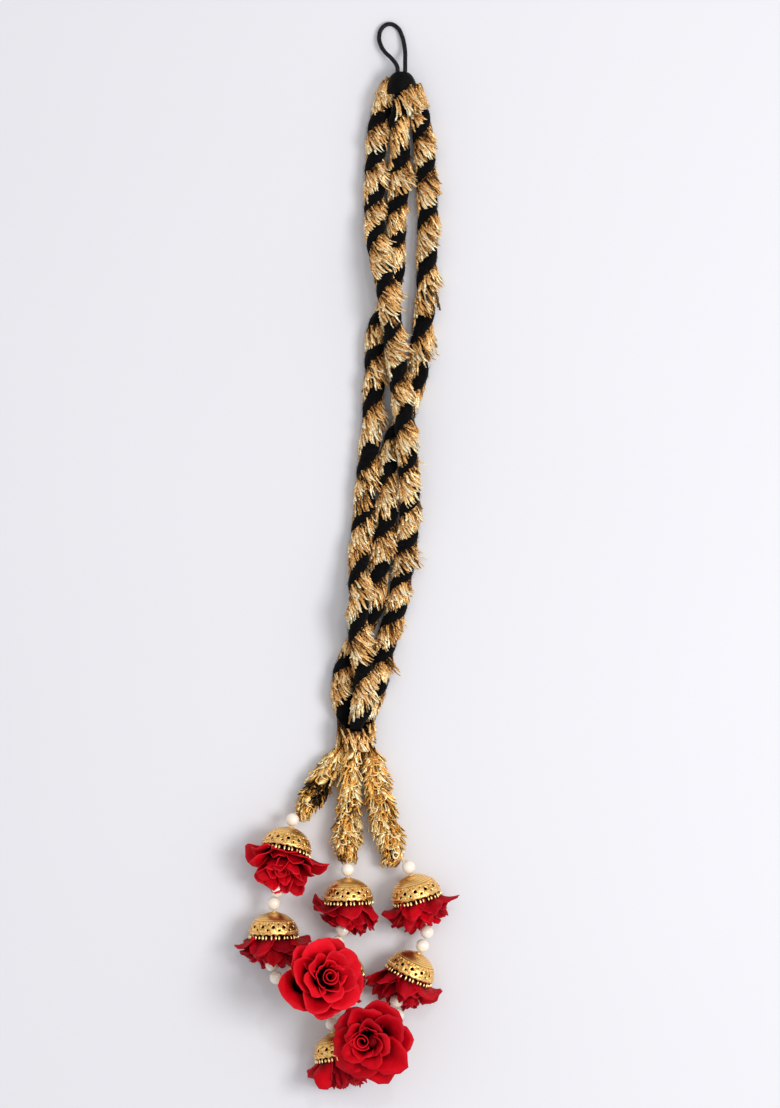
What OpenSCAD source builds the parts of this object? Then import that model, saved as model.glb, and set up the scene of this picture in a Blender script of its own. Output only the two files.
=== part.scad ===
// A paranda: a plaited hair tassel of three black wool ropes wound with gold fringe,
// with a wrapped head and a loop, three gold tails and three strings of caps and roses.
// It lies on a surface at z = 0. Plus y points to the loop, and plus z is up.

/* [Ropes] */
// Radius of a wool rope at the top of its plies
rope_r = 4.6; // [4.2:0.1:4.7]
// Depth of the grooves between the plies
rope_groove = 0.5; // [0:0.1:1]
// Turn of the plies from one ring to the next, in degrees
rope_twist = 38; // [0:1:45]
// Radius of a rope where it enters a binding
rope_end_r = 4; // [3.5:0.1:4.2]

/* [Wound fringe] */
// Gap between a rope and the fringe wound on it, at the edges
fringe_gap = 0.65; // [0.6:0.05:0.7]
// Thickness of the fringe's heading
fringe_wall = 0.85; // [0.7:0.05:0.9]
// Length of a long lock of the fringe
lock_long = 18; // [12:0.5:18]
// Length of the short lock beside it
lock_short = 14; // [8:0.5:16]
// How far the free locks stand off on top
lock_flare = 1.6; // [0:0.1:2]

/* [Tails] */
// Length of one layer of a tail
tail_layer = 8; // [6:0.5:12]
// Width of a tail's core, as a share of its full width
tail_core = 0.66; // [0.5:0.02:0.8]

/* [Head and join] */
// Radius of the wrapped head and of the join
wrap_r = 9.6; // [8:0.1:9.8]
// Radius of the head's flat top, where the loop leaves it
head_top_r = 4.2; // [4:0.1:5]

/* [Loop] */
// Diameter of the elastic loop
loop_d = 2.6; // [2:0.1:3]

/* [Pearls] */
// Diameter of a pearl
pearl_d = 8; // [6:0.1:8]
// Diameter of the hole through a pearl
pearl_hole_d = 2; // [1.8:0.1:2.2]
// Diameter of the thread
thread_d = 0.6; // [0.4:0.1:0.8]

/* [Caps] */
// Diameter of a cap at its mouth
cap_d = 30; // [26:0.5:30]
// Height of a cap
cap_h = 13.5; // [11:0.5:14]
// Thickness of a cap's wall
cap_wall = 0.9; // [0.7:0.1:1.1]
// Number of holes pierced in each cap
cap_holes = 13; // [9:1:13]
// Diameter of a pierced hole
cap_hole_d = 2.2; // [1.5:0.1:2.6]
// Number of scallops along the mouth
cap_scallops = 22; // [16:1:28]

/* [Roses] */
// Thickness of the stiff cloth
petal_t = 1.1; // [1:0.1:1.4]
// How far a petal's edges stand up
petal_cup = 1.6; // [0:0.2:1.8]
// How far one side of a petal stands off more than the other
petal_lap = 1.2; // [0:0.1:1.6]
// Depth from a cap's apex to the innermost petals' tips
rose_depth = 32; // [30:0.5:34]

/* [Hidden] */
wool = "#17130f";
gold = "#d3a23c";
red = "#a80f1a";
cream = "#efe3d2";
cord_black = "#101010";

// Middle of the piece without its loop, at its lowest point, taken as the origin
middle = [0.7, -0.3, -0.12];

// Centre lines of the ropes, from the head down, as x, y and height above the surface
strand_routes = [
    [[26, 290.2, 6.8], [20.5, 280, 6.5], [18, 262, 6.5], [17, 240, 6.5], [16.8, 222, 7],
     [17.3, 206, 11], [19.8, 193, 15], [23, 178, 18.7], [26, 162, 19.2], [28, 146, 17.8],
     [30, 130, 16.5], [32.5, 114, 18.5], [34, 98, 19.2], [36, 82, 18.2], [37, 66, 15],
     [37.9, 50, 12.3], [37.7, 34, 7.8], [35.5, 16, 6.5], [33, 0, 6.5], [31.5, -10, 6.5],
     [28.4, -23, 6.5], [24.6, -34, 6.5], [22, -46, 6.5], [20, -57, 6.5], [17, -70, 6.5],
     [12.5, -82, 6.6], [11, -88.5, 6.8]],
    [[33, 290.2, 14.2], [31.8, 279, 13.6], [31.6, 267, 9.4], [32, 252, 6.5], [31.5, 236, 6.5],
     [30.2, 220, 6.5], [29.5, 204, 6.5], [29.2, 190, 6.5], [27.5, 176, 6.5], [23.5, 162, 6.5],
     [18, 149, 6.5], [16.4, 136, 6.5], [17.5, 122, 6.5], [15.5, 106, 6.5], [16, 92, 6.5],
     [13, 76, 6.5], [12, 60, 6.5], [10.5, 44, 6.5], [9, 28, 6.6], [7.6, 14, 9.4],
     [6.9, 2, 13.4], [8, -12, 16.8], [6.5, -24, 19.8], [7.5, -36, 19.9], [9.6, -46, 17.6],
     [9.9, -56, 16.8], [10.4, -66, 18.1], [9.5, -76, 18.8], [7, -84, 17.2], [6, -88.5, 15.8]],
    [[40, 290.2, 6.8], [43.6, 279, 6.5], [45.4, 268, 6.5], [46.8, 255, 6.5], [47.8, 240, 6.5],
     [48.6, 222, 6.5], [48.6, 205, 6.5], [48, 188, 6.5], [48, 170, 6.5], [45.5, 152, 6.5],
     [43.8, 134, 6.5], [42, 118, 6.5], [36.5, 102, 6.5], [29, 84, 6.5], [25, 68, 6.5],
     [25.3, 52, 6.5], [24, 34, 6.5], [21.7, 17, 6.5], [19.2, 3, 6.5], [18.4, -9, 6.5],
     [15, -20.5, 6.5], [9.6, -31, 6.6], [3.9, -41, 6.7], [-0.6, -51, 6.6], [-2.8, -62, 6.5],
     [-2.5, -74, 6.5], [-0.5, -83, 6.6], [0.5, -88.5, 6.8]]
];

// Heights, along y, at which the bare wool shows on top of each rope between two windings
windings = [
    [302, 277, 252, 228, 206, 178, 150, 122, 96, 70, 46, 22, 1, -22, -45, -67, -90],
    [306, 281, 250, 226, 203, 180, 158, 136, 108, 72, 38, 4, -28, -56, -86, -116],
    [296, 271, 246, 220, 187, 150, 116, 90, 65, 32, 3, -24, -49, -78, -106]
];
// First and last turn of each fringe, counted from the second height above
fringe_turns = [[-1, 14.2], [-0.2, 12.5], [-1, 11.8]];
// Stretches of each rope, from y to y, that another rope lies on
covered = [
    [[-56, -90]],
    [[300, 252], [220, 130]],
    [[124, 74], [2, -52]]
];

// Centre lines of the tails as x, y, height and full radius
tail_routes = [
    [[-0.3, -98.9, 6.8, 4.3], [-7, -108, 6.8, 5.2], [-16, -124, 7.2, 6.6],
     [-24, -135.5, 8.2, 6.4], [-28.2, -141, 10.5, 5.2]],
    [[5.6, -98.9, 14.6, 4.3], [2.6, -108, 13, 5.5], [2, -132, 9, 7.4],
     [0.6, -150, 9, 8.4], [-0.6, -168, 9.8, 9.2]],
    [[11.3, -98.9, 6.8, 4.3], [15, -108, 6.6, 5.6], [18.5, -126, 9, 8.5],
     [22.5, -145, 9, 8.6], [27.5, -162, 9.4, 8.6], [29.6, -169, 10.4, 8]]
];

// Route of the elastic loop, out of the head's top and back into it
loop_route = [
    [30.6, 304.3, 9.8], [30.6, 306.6, 9.8], [29.2, 309.6, 8.9], [26.6, 312.8, 7.4],
    [23, 316.4, 5.4], [20.4, 321, 3.4], [19.6, 326, 1.9], [21.4, 331, 1.4],
    [25.8, 333.4, 1.4], [30.4, 331.4, 1.4], [33, 327, 1.5], [34.5, 321.6, 2.6],
    [35.2, 316, 4.6], [35.2, 311, 7.8], [35.2, 306.6, 9.8], [35.2, 304.3, 9.8]
];
head_x = 33;
wrap_z = 9.8;
head_y = 290.6;
head_h = 13.7;
join_x = 5.6;
join_y = -88.9;
join_h = 9.6;

// Each cap and rose: the apex, the direction from the apex to the rose, the petals' reach to
// the right, left, top and bottom, and the depth added to the rose
UNIT_APEX = 0;
UNIT_DIR = 1;
UNIT_REACH = 2;
UNIT_EXTRA = 3;
units = [
    [[[-33.3, -148.8, 15.5], [-0.2, -0.96, 0.2], [25, 25, 20, 17.5], 4],
     [[-43.5, -199.2, 16.5], [0, -1, 0], [24, 24, 18, 16], 0],
     [[-27.8, -244.3, 27], [0.38, 0.15, 0.91], [26, 25, 27, 25], 0]],
    [[[0.9, -178.8, 16.5], [0.02, -1, 0], [17, 24, 18, 16], 0],
     [[-5, -222.5, 15.5], [0.05, -1, 0], [19, 17, 10, 15], 0],
     [[-7.5, -271.2, 15.5], [0.22, -0.975, 0], [15, 22, 11.5, 15], 0.4]],
    [[[38.5, -177, 18.3], [0.26, -0.955, -0.1], [25, 24, 18, 16], 0],
     [[43.5, -223.8, 17], [-0.42, -0.9, -0.1], [24, 20, 18, 15], 0],
     [[21, -272.5, 19.5], [-0.2, -0.15, 0.968], [26, 22, 26, 26], 0]]
];
// Centres of the pearls of each string: one before the first cap, two before each other cap
pearls = [
    [[-32.3, -144.2, 14.5], [-41.4, -186.4, 18.6], [-43.5, -194.4, 16.5],
     [-44.6, -231, 17.3], [-42, -238.5, 20]],
    [[0.8, -174, 16.5], [-2.4, -210, 17.6], [-5.2, -217.7, 15.5],
     [-5.8, -257.6, 15.5], [-8.6, -266.5, 15.5]],
    [[37.2, -172.4, 18.8], [48.2, -211.4, 15.4], [45.5, -219.5, 17.5],
     [30, -252.8, 14.6], [30.6, -261.3, 15.6]]
];
// Where each string's thread leaves its tail
thread_starts = [[-27.2, -139.7, 10], [-0.7, -166.8, 12.6], [29.3, -168.1, 13]];
// Turn of each rose about its own axis
rose_turns = [[10, 34, 60], [52, 20, 5], [25, 48, 15]];

// Distance from a cap's apex to the bottom of the bud, where the thread leaves the rose
bud_end = rose_depth - 5;
fringe_cols = 12;
heading_drop = 4;
sag_max = 0.5;
rope_sides = 8;
rope_taper = 10;
tail_sides = 12;
cap_r = cap_d / 2;
rose_cols = 20;
// Half of the stretch of thread that is straight, in a pearl's hole
straight = pearl_d / 2 + 0.05;

// Curves

function unit(v) = v / norm(v);

// A point of the smooth curve through four points, between the second and the third
function smooth_point(a, b, c, d, t) =
    0.5 * (2 * b + (c - a) * t + (2 * a - 5 * b + 4 * c - d) * t * t
           + (3 * b - 3 * c + d - a) * t * t * t);

// A route made finer, with n steps between two of its points
function smooth_route(route, n) = let (last = len(route) - 1) [
    for (i = [0:last - 1])
        for (k = [0:n - 1])
            smooth_point(route[max(i - 1, 0)], route[i], route[i + 1],
                         route[min(i + 2, last)], k / n),
    route[last]
];

// The value in one column of a route at the place y
function along(route, y, column) = lookup(y, [for (p = route) [p[1], p[column]]]);
function centre_at(route, y) = [along(route, y, 0), y, along(route, y, 2)];
down_y = [0, -1, 0];
function heading_at(route, y) = unit(centre_at(route, y - 1) - centre_at(route, y + 1));

// A point on a ring round a centre line, at an angle from the right over the top
function ring_point(centre, heading, angle, r) =
    let (right = unit(cross([0, 0, 1], heading)), up = cross(heading, right))
    centre + r * (cos(angle) * right + sin(angle) * up);

// Faces of a closed tube, from rows of points that go round it. A face in row i and column j
// is split along its other diagonal where crossed(i, j) is true
function tube_faces(rows, cols, crossed = function(i, j) false) = concat(
    [[for (j = [0:cols - 1]) j]],
    [for (i = [0:rows - 2])
        for (j = [0:cols - 1])
            let (a = i * cols + j, b = i * cols + (j + 1) % cols)
            each crossed(i, j) ? [[a, a + cols, b], [a + cols, b + cols, b]]
                               : [[a, a + cols, b + cols], [a, b + cols, b]]],
    [[for (j = [cols - 1:-1:0]) (rows - 1) * cols + j]]
);

// A round cord or thread along a route
module cord(route, r, sides) {
    last = len(route) - 1;
    points = [
        for (i = [0:last])
            let (
                heading = unit(route[min(i + 1, last)] - route[max(i - 1, 0)]),
                side = unit(cross([0, 0, 1], heading)),
                up = cross(heading, side)
            )
            for (j = [0:sides - 1])
                let (angle = (j + 0.5) * 360 / sides)
                route[i] + r * (cos(angle) * side + sin(angle) * up)
    ];
    polyhedron(points, tube_faces(last + 1, sides));
}

// Loop, head and join

module hanging_loop() {
    color(cord_black)
        cord(loop_route, loop_d / 2, 8);
}

// Outline of the domed head, from its mouth up to its flat top
function head_outline() = let (round_h = head_h - 4) concat(
    [[0, 0], [wrap_r - 0.8, 0], [wrap_r, 1.2], [wrap_r, 4]],
    [for (t = [15:15:75])
        [head_top_r + (wrap_r - head_top_r) * cos(t), 4 + round_h * sin(t)]],
    [[head_top_r, head_h], [0, head_h]]
);

module head_wrap() {
    color(wool)
        translate([head_x, head_y, wrap_z])
            rotate([-90, 0, 0])
                rotate_extrude($fn = 48)
                    polygon(head_outline());
}

module join_wrap() {
    bead = 0.9;
    color(gold)
        translate([join_x, join_y, wrap_z])
            rotate([90, 0, 0])
                rotate_extrude($fn = 48)
                    polygon([
                        [0, 0], [wrap_r - bead, 0], [wrap_r, bead], [wrap_r - bead, 2 * bead],
                        [wrap_r - 0.3, join_h / 2], [wrap_r - bead, join_h - 2 * bead],
                        [wrap_r, join_h - bead], [wrap_r - bead, join_h], [0, join_h]
                    ]);
}

// Ropes and their wound fringe

// A rope is thinner where its end goes into a binding
function rope_radius(from_end) =
    rope_end_r + (rope_r - rope_end_r) * min(1, from_end / rope_taper);

module strand(which) {
    route = smooth_route(strand_routes[which], 2);
    last = len(route) - 1;
    points = [
        for (i = [0:last])
            let (
                at_end = i == 0 || i == last,
                heading = at_end ? down_y : unit(route[i + 1] - route[i - 1]),
                from_end = min(norm(route[i] - route[0]), norm(route[i] - route[last])),
                r = rope_radius(from_end)
            )
            for (j = [0:rope_sides - 1])
                ring_point(route[i], heading, j * 360 / rope_sides + i * rope_twist,
                           j % 2 == 0 ? r : r - rope_groove)
    ];
    color(wool)
        polyhedron(points, tube_faces(last + 1, rope_sides));
}

function is_covered(which, y) = len([for (c = covered[which]) if (y < c[0] && y > c[1]) 1]) > 0;

module fringe(which) {
    route = smooth_route(strand_routes[which], 4);
    turns = fringe_turns[which];
    heights = [for (k = [0:len(windings[which]) - 1]) [k - 1, windings[which][k]]];
    count = floor((turns[1] - turns[0]) * fringe_cols);
    lean = 28;
    points = [
        for (i = [0:count])
            let (
                turn = turns[0] + i / fringe_cols,
                angle = 90 + 360 * turn,
                pitch = lookup(turn, heights) - lookup(turn + 1, heights),
                lock = (i % 2 == 0 ? lock_long : lock_short) + 1.2 * sin(77 * i),
                edge = lookup(turn, heights) - heading_drop,
                top = min(edge, head_y - 0.8),
                tip = max(edge - lock * pitch / 27, join_y + 0.6),
                flare = is_covered(which, tip) ? 0 : lock_flare * max(0, sin(angle - lean)),
                at_top = centre_at(route, top),
                at_tip = centre_at(route, tip),
                sag = min(sag_max, norm(centre_at(route, (top + tip) / 2) - (at_top + at_tip) / 2)),
                top_r = rope_radius(head_y - top) + fringe_gap + sag,
                tip_r = rope_radius(head_y - tip) + fringe_gap + sag + flare,
                head_top = heading_at(route, top),
                head_tip = heading_at(route, tip)
            )
            each [
                ring_point(at_top, head_top, angle, top_r),
                ring_point(at_tip, head_tip, angle - lean, tip_r),
                ring_point(at_tip, head_tip, angle - lean, tip_r + fringe_wall - 0.1),
                ring_point(at_top, head_top, angle, top_r + fringe_wall)
            ]
    ];
    // Both sides of the wall are split along the same diagonals
    on_outside = function(i, j) j == 2;
    color(gold)
        polyhedron(points, tube_faces(count + 1, 4, on_outside));
}

// Tails

// Each layer of a tail starts at the core, widens to its free locks and steps back to the core
module tail(which) {
    route = smooth_route(tail_routes[which], 4);
    top = route[0][1];
    bottom = route[len(route) - 1][1];
    layers = floor((top - bottom) / tail_layer);
    step = (top - bottom) / layers;
    points = [
        for (k = [0:layers - 1])
            for (row = [0:2])
                for (j = [0:tail_sides - 1])
                    let (
                        long = (j + k) % 2 == 0,
                        drop = [0, long ? 1.3 : 1, 0.8][row] * step,
                        y = top - k * step - (k == layers - 1 ? min(drop, step) : drop),
                        wide = along(route, y, 3) * [tail_core, long ? 1 : 0.86, tail_core][row],
                        angle = (j + (k % 2) / 2) * 360 / tail_sides
                    )
                    ring_point(centre_at(route, y), k + row == 0 ? down_y : heading_at(route, y),
                               angle, wide)
    ];
    color(gold)
        polyhedron(points, tube_faces(3 * layers, tail_sides));
}

// Strings

// Turns a piece so that its own z runs from a cap's apex to its rose
module at_unit(u) {
    d = unit(u[UNIT_DIR]);
    translate(u[UNIT_APEX])
        rotate([0, acos(d.z), atan2(d.y, d.x)])
            children();
}

function thread_exit(u) = u[UNIT_APEX] + (bud_end + u[UNIT_EXTRA] + 0.6) * unit(u[UNIT_DIR]);
function thread_entry(u) = u[UNIT_APEX] + 2.2 * unit(u[UNIT_DIR]);

// A string runs from its tail or the last bud, through the middle of each pearl, into the next cap
function string_route(which, k) =
    let (u = units[which][k], own = pearls[which])
    concat(
        k == 0 ? [thread_starts[which], own[0]]
               : [thread_exit(units[which][k - 1]), own[2 * k - 1], own[2 * k]],
        [u[UNIT_APEX] - 0.4 * unit(u[UNIT_DIR]), thread_entry(u)]
    );

// The direction of a string at a pearl: along the axis of a cap that the pearl sits on
function string_heading(route, i) =
    let (last = len(route) - 1, on_cap = norm(route[i] - route[last - 1]) < pearl_d)
    unit(on_cap ? route[last] - route[last - 1] : route[i + 1] - route[i - 1]);

// The thread is straight in each pearl's hole
function thread_route(route) = let (last = len(route) - 1) concat(
    [route[0]],
    [for (i = [1:last - 2])
        for (side = [-1, 1])
            route[i] + side * straight * string_heading(route, i)],
    [route[last - 1], route[last]]
);

module thread(which) {
    color(cream)
        for (k = [0:2])
            cord(thread_route(string_route(which, k)), thread_d / 2, 6);
}

module pearl(which, k) {
    d = string_heading(string_route(which, ceil(k / 2)), k > 0 && k % 2 == 0 ? 2 : 1);
    color(cream)
        translate(pearls[which][k])
            rotate([0, acos(d.z), atan2(d.y, d.x)])
                difference() {
                    sphere(d = pearl_d, $fn = 48);
                    cylinder(d = pearl_hole_d, h = pearl_d + 2, center = true, $fn = 24);
                }
}

// A cap's wall, ridged outside, from the thread hole at its apex to its mouth
function dome_point(t, inset) = [
    (cap_r - inset) * sin(t),
    inset + (cap_h - inset) * (1 - cos(t))
];

function cap_outline() = concat(
    [for (t = [7:7:84]) dome_point(t, t % 2 == 0 ? 0 : 0.25)],
    [[cap_r, cap_h - 0.2], [cap_r - 0.2, cap_h + 0.6], [cap_r - cap_wall, cap_h + 0.6]],
    [for (t = [84:-14:14]) dome_point(t, cap_wall)],
    [[1, cap_wall + 0.2], [1, 0.1]]
);

module cap(which, k) {
    color(gold)
        at_unit(units[which][k])
            difference() {
                rotate_extrude($fn = 72)
                    polygon(cap_outline());
                for (i = [0:cap_holes - 1])
                    rotate([0, 0, (i + 0.5) * 360 / cap_holes])
                        translate([cap_r - 3, 0, cap_h - 3.6])
                            rotate([0, 72, 0])
                                cylinder(d = cap_hole_d, h = 8, $fn = 24);
                for (i = [0:cap_scallops - 1])
                    rotate([0, 0, i * 360 / cap_scallops])
                        translate([cap_r - 3, 0, cap_h + 0.9])
                            rotate([0, 90, 0])
                                cylinder(r = 0.9, h = 6, $fn = 24);
            }
}

// The reach of a rose's petals at an angle from the right over the top
function reach_at(reach, angle) =
    let (side = cos(angle) > 0 ? reach[0] : reach[1], rise = sin(angle) > 0 ? reach[2] : reach[3])
    1 / sqrt(pow(cos(angle) / side, 2) + pow(sin(angle) / rise, 2));

// Layers of five petals, from the cap inwards: share of the reach, then the radius and the
// depth of the outline at a petal's foot, where it passes the rim, and the depth of its tip
SHARE = 0;
FOOT_R = 1;
FOOT_H = 2;
RIM_R = 3;
RIM_H = 4;
TIP_H = 5;
LAYERS = [
    [1, 8.6, 9.5, 13.4, 14.6, 19.5],
    [0.9, 7.4, 12, 8.3, 20, 25.5],
    [0.62, 5.9, 15, 7.6, 24, 30.5]
];
// Across a petal, from the notch beside it: the share of its length and how far it stands up
PETAL_LENGTH = [0.8, 0.96, 1, 0.94];
PETAL_RISE = [1, 0.1, 0, 0.1];
PETAL_SIDE = [0, -0.5, 0, 0.5];
SPREAD_MIN = 1.3;
BUD_R = 4.4;

// A place moved a wall's thickness towards the inside of a layer that runs along v
function inside_of(place, v) = place + petal_t * [-v.y, v.x] / norm(v);

// Outline of a petal in one column, out along its back and in again along its face
function petal_outline(layer, reach, extra, across) =
    let (
        rise = petal_cup * PETAL_RISE[across] + petal_lap * PETAL_SIDE[across],
        spread = max(SPREAD_MIN, layer[SHARE] * PETAL_LENGTH[across] * reach - layer[FOOT_R]),
        deeper = extra / (rose_depth - cap_h),
        foot = [layer[FOOT_R], layer[FOOT_H]],
        rim = [min(layer[RIM_R], layer[FOOT_R] + 0.7 * spread),
               layer[RIM_H] + deeper * (layer[RIM_H] - cap_h) + 0.4 * max(rise, 0)],
        tip = [layer[FOOT_R] + spread,
               layer[TIP_H] + deeper * (layer[TIP_H] - cap_h) + rise]
    )
    [foot, rim, tip, inside_of(tip, tip - rim), inside_of(rim, tip - foot)];

// Outline of a whole rose in one column, from the thread hole over the layers to the bud
function rose_column(u, angle, column) =
    let (reach = reach_at(u[UNIT_REACH], angle), extra = u[UNIT_EXTRA], end = bud_end + extra)
    concat(
        [[4, 3]],
        [for (k = [0:len(LAYERS) - 1])
            each petal_outline(LAYERS[k], reach, extra, (column + 2 * k) % 4)],
        [[BUD_R - 0.2, 19], [BUD_R, end - 2], [BUD_R - 1.4, end]]
    );

module rose(which, k) {
    u = units[which][k];
    angles = [for (j = [0:rose_cols - 1]) rose_turns[which][k] + j * 360 / rose_cols];
    columns = [for (j = [0:rose_cols - 1]) rose_column(u, angles[j], j)];
    rows = len(columns[0]);
    points = [
        for (row = [0:rows - 1])
            for (j = [0:rose_cols - 1])
                let (place = columns[j][row])
                [-place.x * sin(angles[j]), place.x * cos(angles[j]), place.y]
    ];
    // A petal's outline has five places, and the stretches after the last two are its face. Both
    // sides of a petal are split along the same diagonals
    on_face = function(i, j) i % 5 == 4 || i % 5 == 0;
    color(red)
        at_unit(u)
            polyhedron(points, tube_faces(rows, rose_cols, on_face));
}

module placed() {
    translate(-middle)
        children();
}

placed() hanging_loop();
placed() head_wrap();
placed() join_wrap();
placed() strand(0);  // strand_left
placed() strand(1);  // strand_middle
placed() strand(2);  // strand_right
placed() fringe(0);  // fringe_left
placed() fringe(1);  // fringe_middle
placed() fringe(2);  // fringe_right
placed() tail(0);  // tail_left
placed() tail(1);  // tail_middle
placed() tail(2);  // tail_right
placed() thread(0);  // thread_left
placed() thread(1);  // thread_middle
placed() thread(2);  // thread_right
placed() pearl(0, 0);  // pearl_left_1
placed() pearl(0, 1);  // pearl_left_2
placed() pearl(0, 2);  // pearl_left_3
placed() pearl(0, 3);  // pearl_left_4
placed() pearl(0, 4);  // pearl_left_5
placed() pearl(1, 0);  // pearl_middle_1
placed() pearl(1, 1);  // pearl_middle_2
placed() pearl(1, 2);  // pearl_middle_3
placed() pearl(1, 3);  // pearl_middle_4
placed() pearl(1, 4);  // pearl_middle_5
placed() pearl(2, 0);  // pearl_right_1
placed() pearl(2, 1);  // pearl_right_2
placed() pearl(2, 2);  // pearl_right_3
placed() pearl(2, 3);  // pearl_right_4
placed() pearl(2, 4);  // pearl_right_5
placed() cap(0, 0);  // cap_left_1
placed() cap(0, 1);  // cap_left_2
placed() cap(0, 2);  // cap_left_3
placed() cap(1, 0);  // cap_middle_1
placed() cap(1, 1);  // cap_middle_2
placed() cap(1, 2);  // cap_middle_3
placed() cap(2, 0);  // cap_right_1
placed() cap(2, 1);  // cap_right_2
placed() cap(2, 2);  // cap_right_3
placed() rose(0, 0);  // rose_left_1
placed() rose(0, 1);  // rose_left_2
placed() rose(0, 2);  // rose_left_3
placed() rose(1, 0);  // rose_middle_1
placed() rose(1, 1);  // rose_middle_2
placed() rose(1, 2);  // rose_middle_3
placed() rose(2, 0);  // rose_right_1
placed() rose(2, 1);  // rose_right_2
placed() rose(2, 2);  // rose_right_3
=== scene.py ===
"""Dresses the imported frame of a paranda, a plaited hair tassel: wool ropes, wound gold fringe,
a wrapped head with its loop, gold tails, filigree caps and cloth roses, on a pale floor."""

import math
from collections import namedtuple

import bmesh
import bpy
import numpy as np
from mathutils import Matrix, Vector


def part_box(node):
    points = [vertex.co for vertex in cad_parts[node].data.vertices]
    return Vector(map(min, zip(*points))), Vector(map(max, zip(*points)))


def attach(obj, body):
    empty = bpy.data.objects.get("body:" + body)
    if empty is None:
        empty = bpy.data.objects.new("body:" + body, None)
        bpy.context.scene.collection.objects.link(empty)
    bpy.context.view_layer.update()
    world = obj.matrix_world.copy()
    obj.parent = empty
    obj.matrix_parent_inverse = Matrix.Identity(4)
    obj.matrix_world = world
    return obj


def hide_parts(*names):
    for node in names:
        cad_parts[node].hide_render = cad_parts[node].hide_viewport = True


bl_info = {
    "name": "Paranda",
    "version": (1, 0, 0),
    "blender": (4, 5, 0),
    "location": "View3D > Sidebar > Paranda",
    "description": "Finishes a plaited hair tassel: wool, gold fringe, filigree and cloth roses",
    "category": "Object",
}

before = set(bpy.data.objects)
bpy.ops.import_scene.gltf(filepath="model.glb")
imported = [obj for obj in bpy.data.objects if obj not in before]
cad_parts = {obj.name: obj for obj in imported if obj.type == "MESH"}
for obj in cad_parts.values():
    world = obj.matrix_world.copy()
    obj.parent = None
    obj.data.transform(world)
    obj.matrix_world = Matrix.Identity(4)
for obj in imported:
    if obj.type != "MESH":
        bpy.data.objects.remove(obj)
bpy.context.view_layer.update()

MM = 0.001
BODY = "root"
# The origin of the frame, in the source's own millimetres
MIDDLE = Vector((0.7, -0.3, -0.12))
FLOOR_GAP = 0.15 * MM
SIDES = ("left", "middle", "right")
# Corners of a seam that lie closer than this are merged
SEAM = 0.01 * MM
# Column of strand_rows that holds the tint, and the tint of what lies under the strands,
# dark as painted shade
TINT = 6
UNDER_STRAND_SHADE = 0.05
# How far a strand swerves to its side, and the least radius round which its width is bent
STRAND_WANDER = 0.5 * MM
THINNEST = 3 * MM
# Thickness of a twisted strand's wire, as a share of the strand's width
WIRE_SHARE = 0.58
# Thickness of a leaf of foil
FOIL = 0.25 * MM

# A cap and its rose, a layer of petals, and how one petal differs from the others
Unit = namedtuple("Unit", "apex direction reach extra turn pointed")
Layer = namedtuple("Layer", "share foot rim tip turn")
Habit = namedtuple("Habit", "aside wave phase size sink slant roll tint")
# A layer of fringe: its share of a lock's length, its height above the base, how far its tips
# stand off, the tint of its roots, kept low as painted shade, how much brighter its tips are
# as painted highlight, and how loose it is
FringeLayer = namedtuple("FringeLayer", "share lift stand tint glow loose")

# Route of the elastic loop, out of the head's top and back into it
LOOP_ROUTE = [
    (30.6, 304.3, 9.8), (30.6, 306.6, 9.8), (29.2, 309.6, 8.9), (26.6, 312.8, 7.4),
    (23, 316.4, 5.6), (20.4, 321, 3.8), (19.6, 326, 2.4), (21.4, 331, 1.8),
    (25.8, 333.4, 1.6), (30.4, 331.4, 1.8), (33, 327, 2.3), (34.5, 321.6, 3.3),
    (35.2, 316, 4.6), (35.2, 311, 7.8), (35.2, 306.6, 9.8), (35.2, 304.3, 9.8),
]

# Heights, along y, at which the bare wool shows on top of each rope between two windings
WINDINGS = {
    "left": (302, 277, 252, 228, 206, 178, 150, 122, 96, 70, 46, 22, 1, -22, -45, -67, -90),
    "middle": (306, 281, 250, 226, 203, 180, 158, 136, 108, 72, 38, 4, -28, -56, -86, -116),
    "right": (296, 271, 246, 220, 187, 150, 116, 90, 65, 32, 3, -24, -49, -78, -106),
}
# First and last turn of each fringe, counted from the second height above
FRINGE_TURNS = {"left": (-1, 14.2), "middle": (-0.2, 12.5), "right": (-1, 11.8)}
# Stretches of each rope, from y to y, that another rope lies on
COVERED = {"left": ((-56, -90),), "middle": ((300, 252), (220, 130)), "right": ((124, 74), (2, -52))}
JOIN_Y = -88.9
HEAD_Y = 290.6

# Each cap and rose: the cap's apex, the direction to the rose, the petals' reach to the right,
# left, top and bottom, the depth added to the rose, its turn, and how pointed its petals are
UNITS = {
    "left_1": Unit((-33.3, -148.8, 15.5), (-0.2, -0.96, 0.2), (25, 25, 20, 17.5), 4, 10, 0.0),
    "left_2": Unit((-43.5, -199.2, 16.5), (0, -1, 0), (24, 24, 18, 16), 0, 34, 0.3),
    "left_3": Unit((-27.8, -244.3, 27), (0.38, 0.15, 0.91), (26, 25, 26.5, 29), 0, 60, 0.0),
    "middle_1": Unit((0.9, -178.8, 16.5), (0.02, -1, 0), (17, 24, 18, 16), 0, 52, 0.25),
    "middle_2": Unit((-5, -222.5, 15.5), (0.05, -1, 0), (19, 17, 10, 15), 0, 20, 0.5),
    "middle_3": Unit((-7.5, -271.2, 15.5), (0.22, -0.975, 0), (15, 22, 11.5, 15), 0.4, 5, 0.5),
    "right_1": Unit((38.5, -177, 18.3), (0.26, -0.955, -0.1), (22, 24, 18, 16), 0, 25, 0.6),
    "right_2": Unit((43.5, -223.8, 17), (-0.42, -0.9, -0.1), (27, 18, 18, 15), 0, 48, 0.6),
    "right_3": Unit((21, -272.5, 19.5), (-0.2, -0.15, 0.968), (26, 22, 26, 26), 0, 15, 0.3),
}
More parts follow.
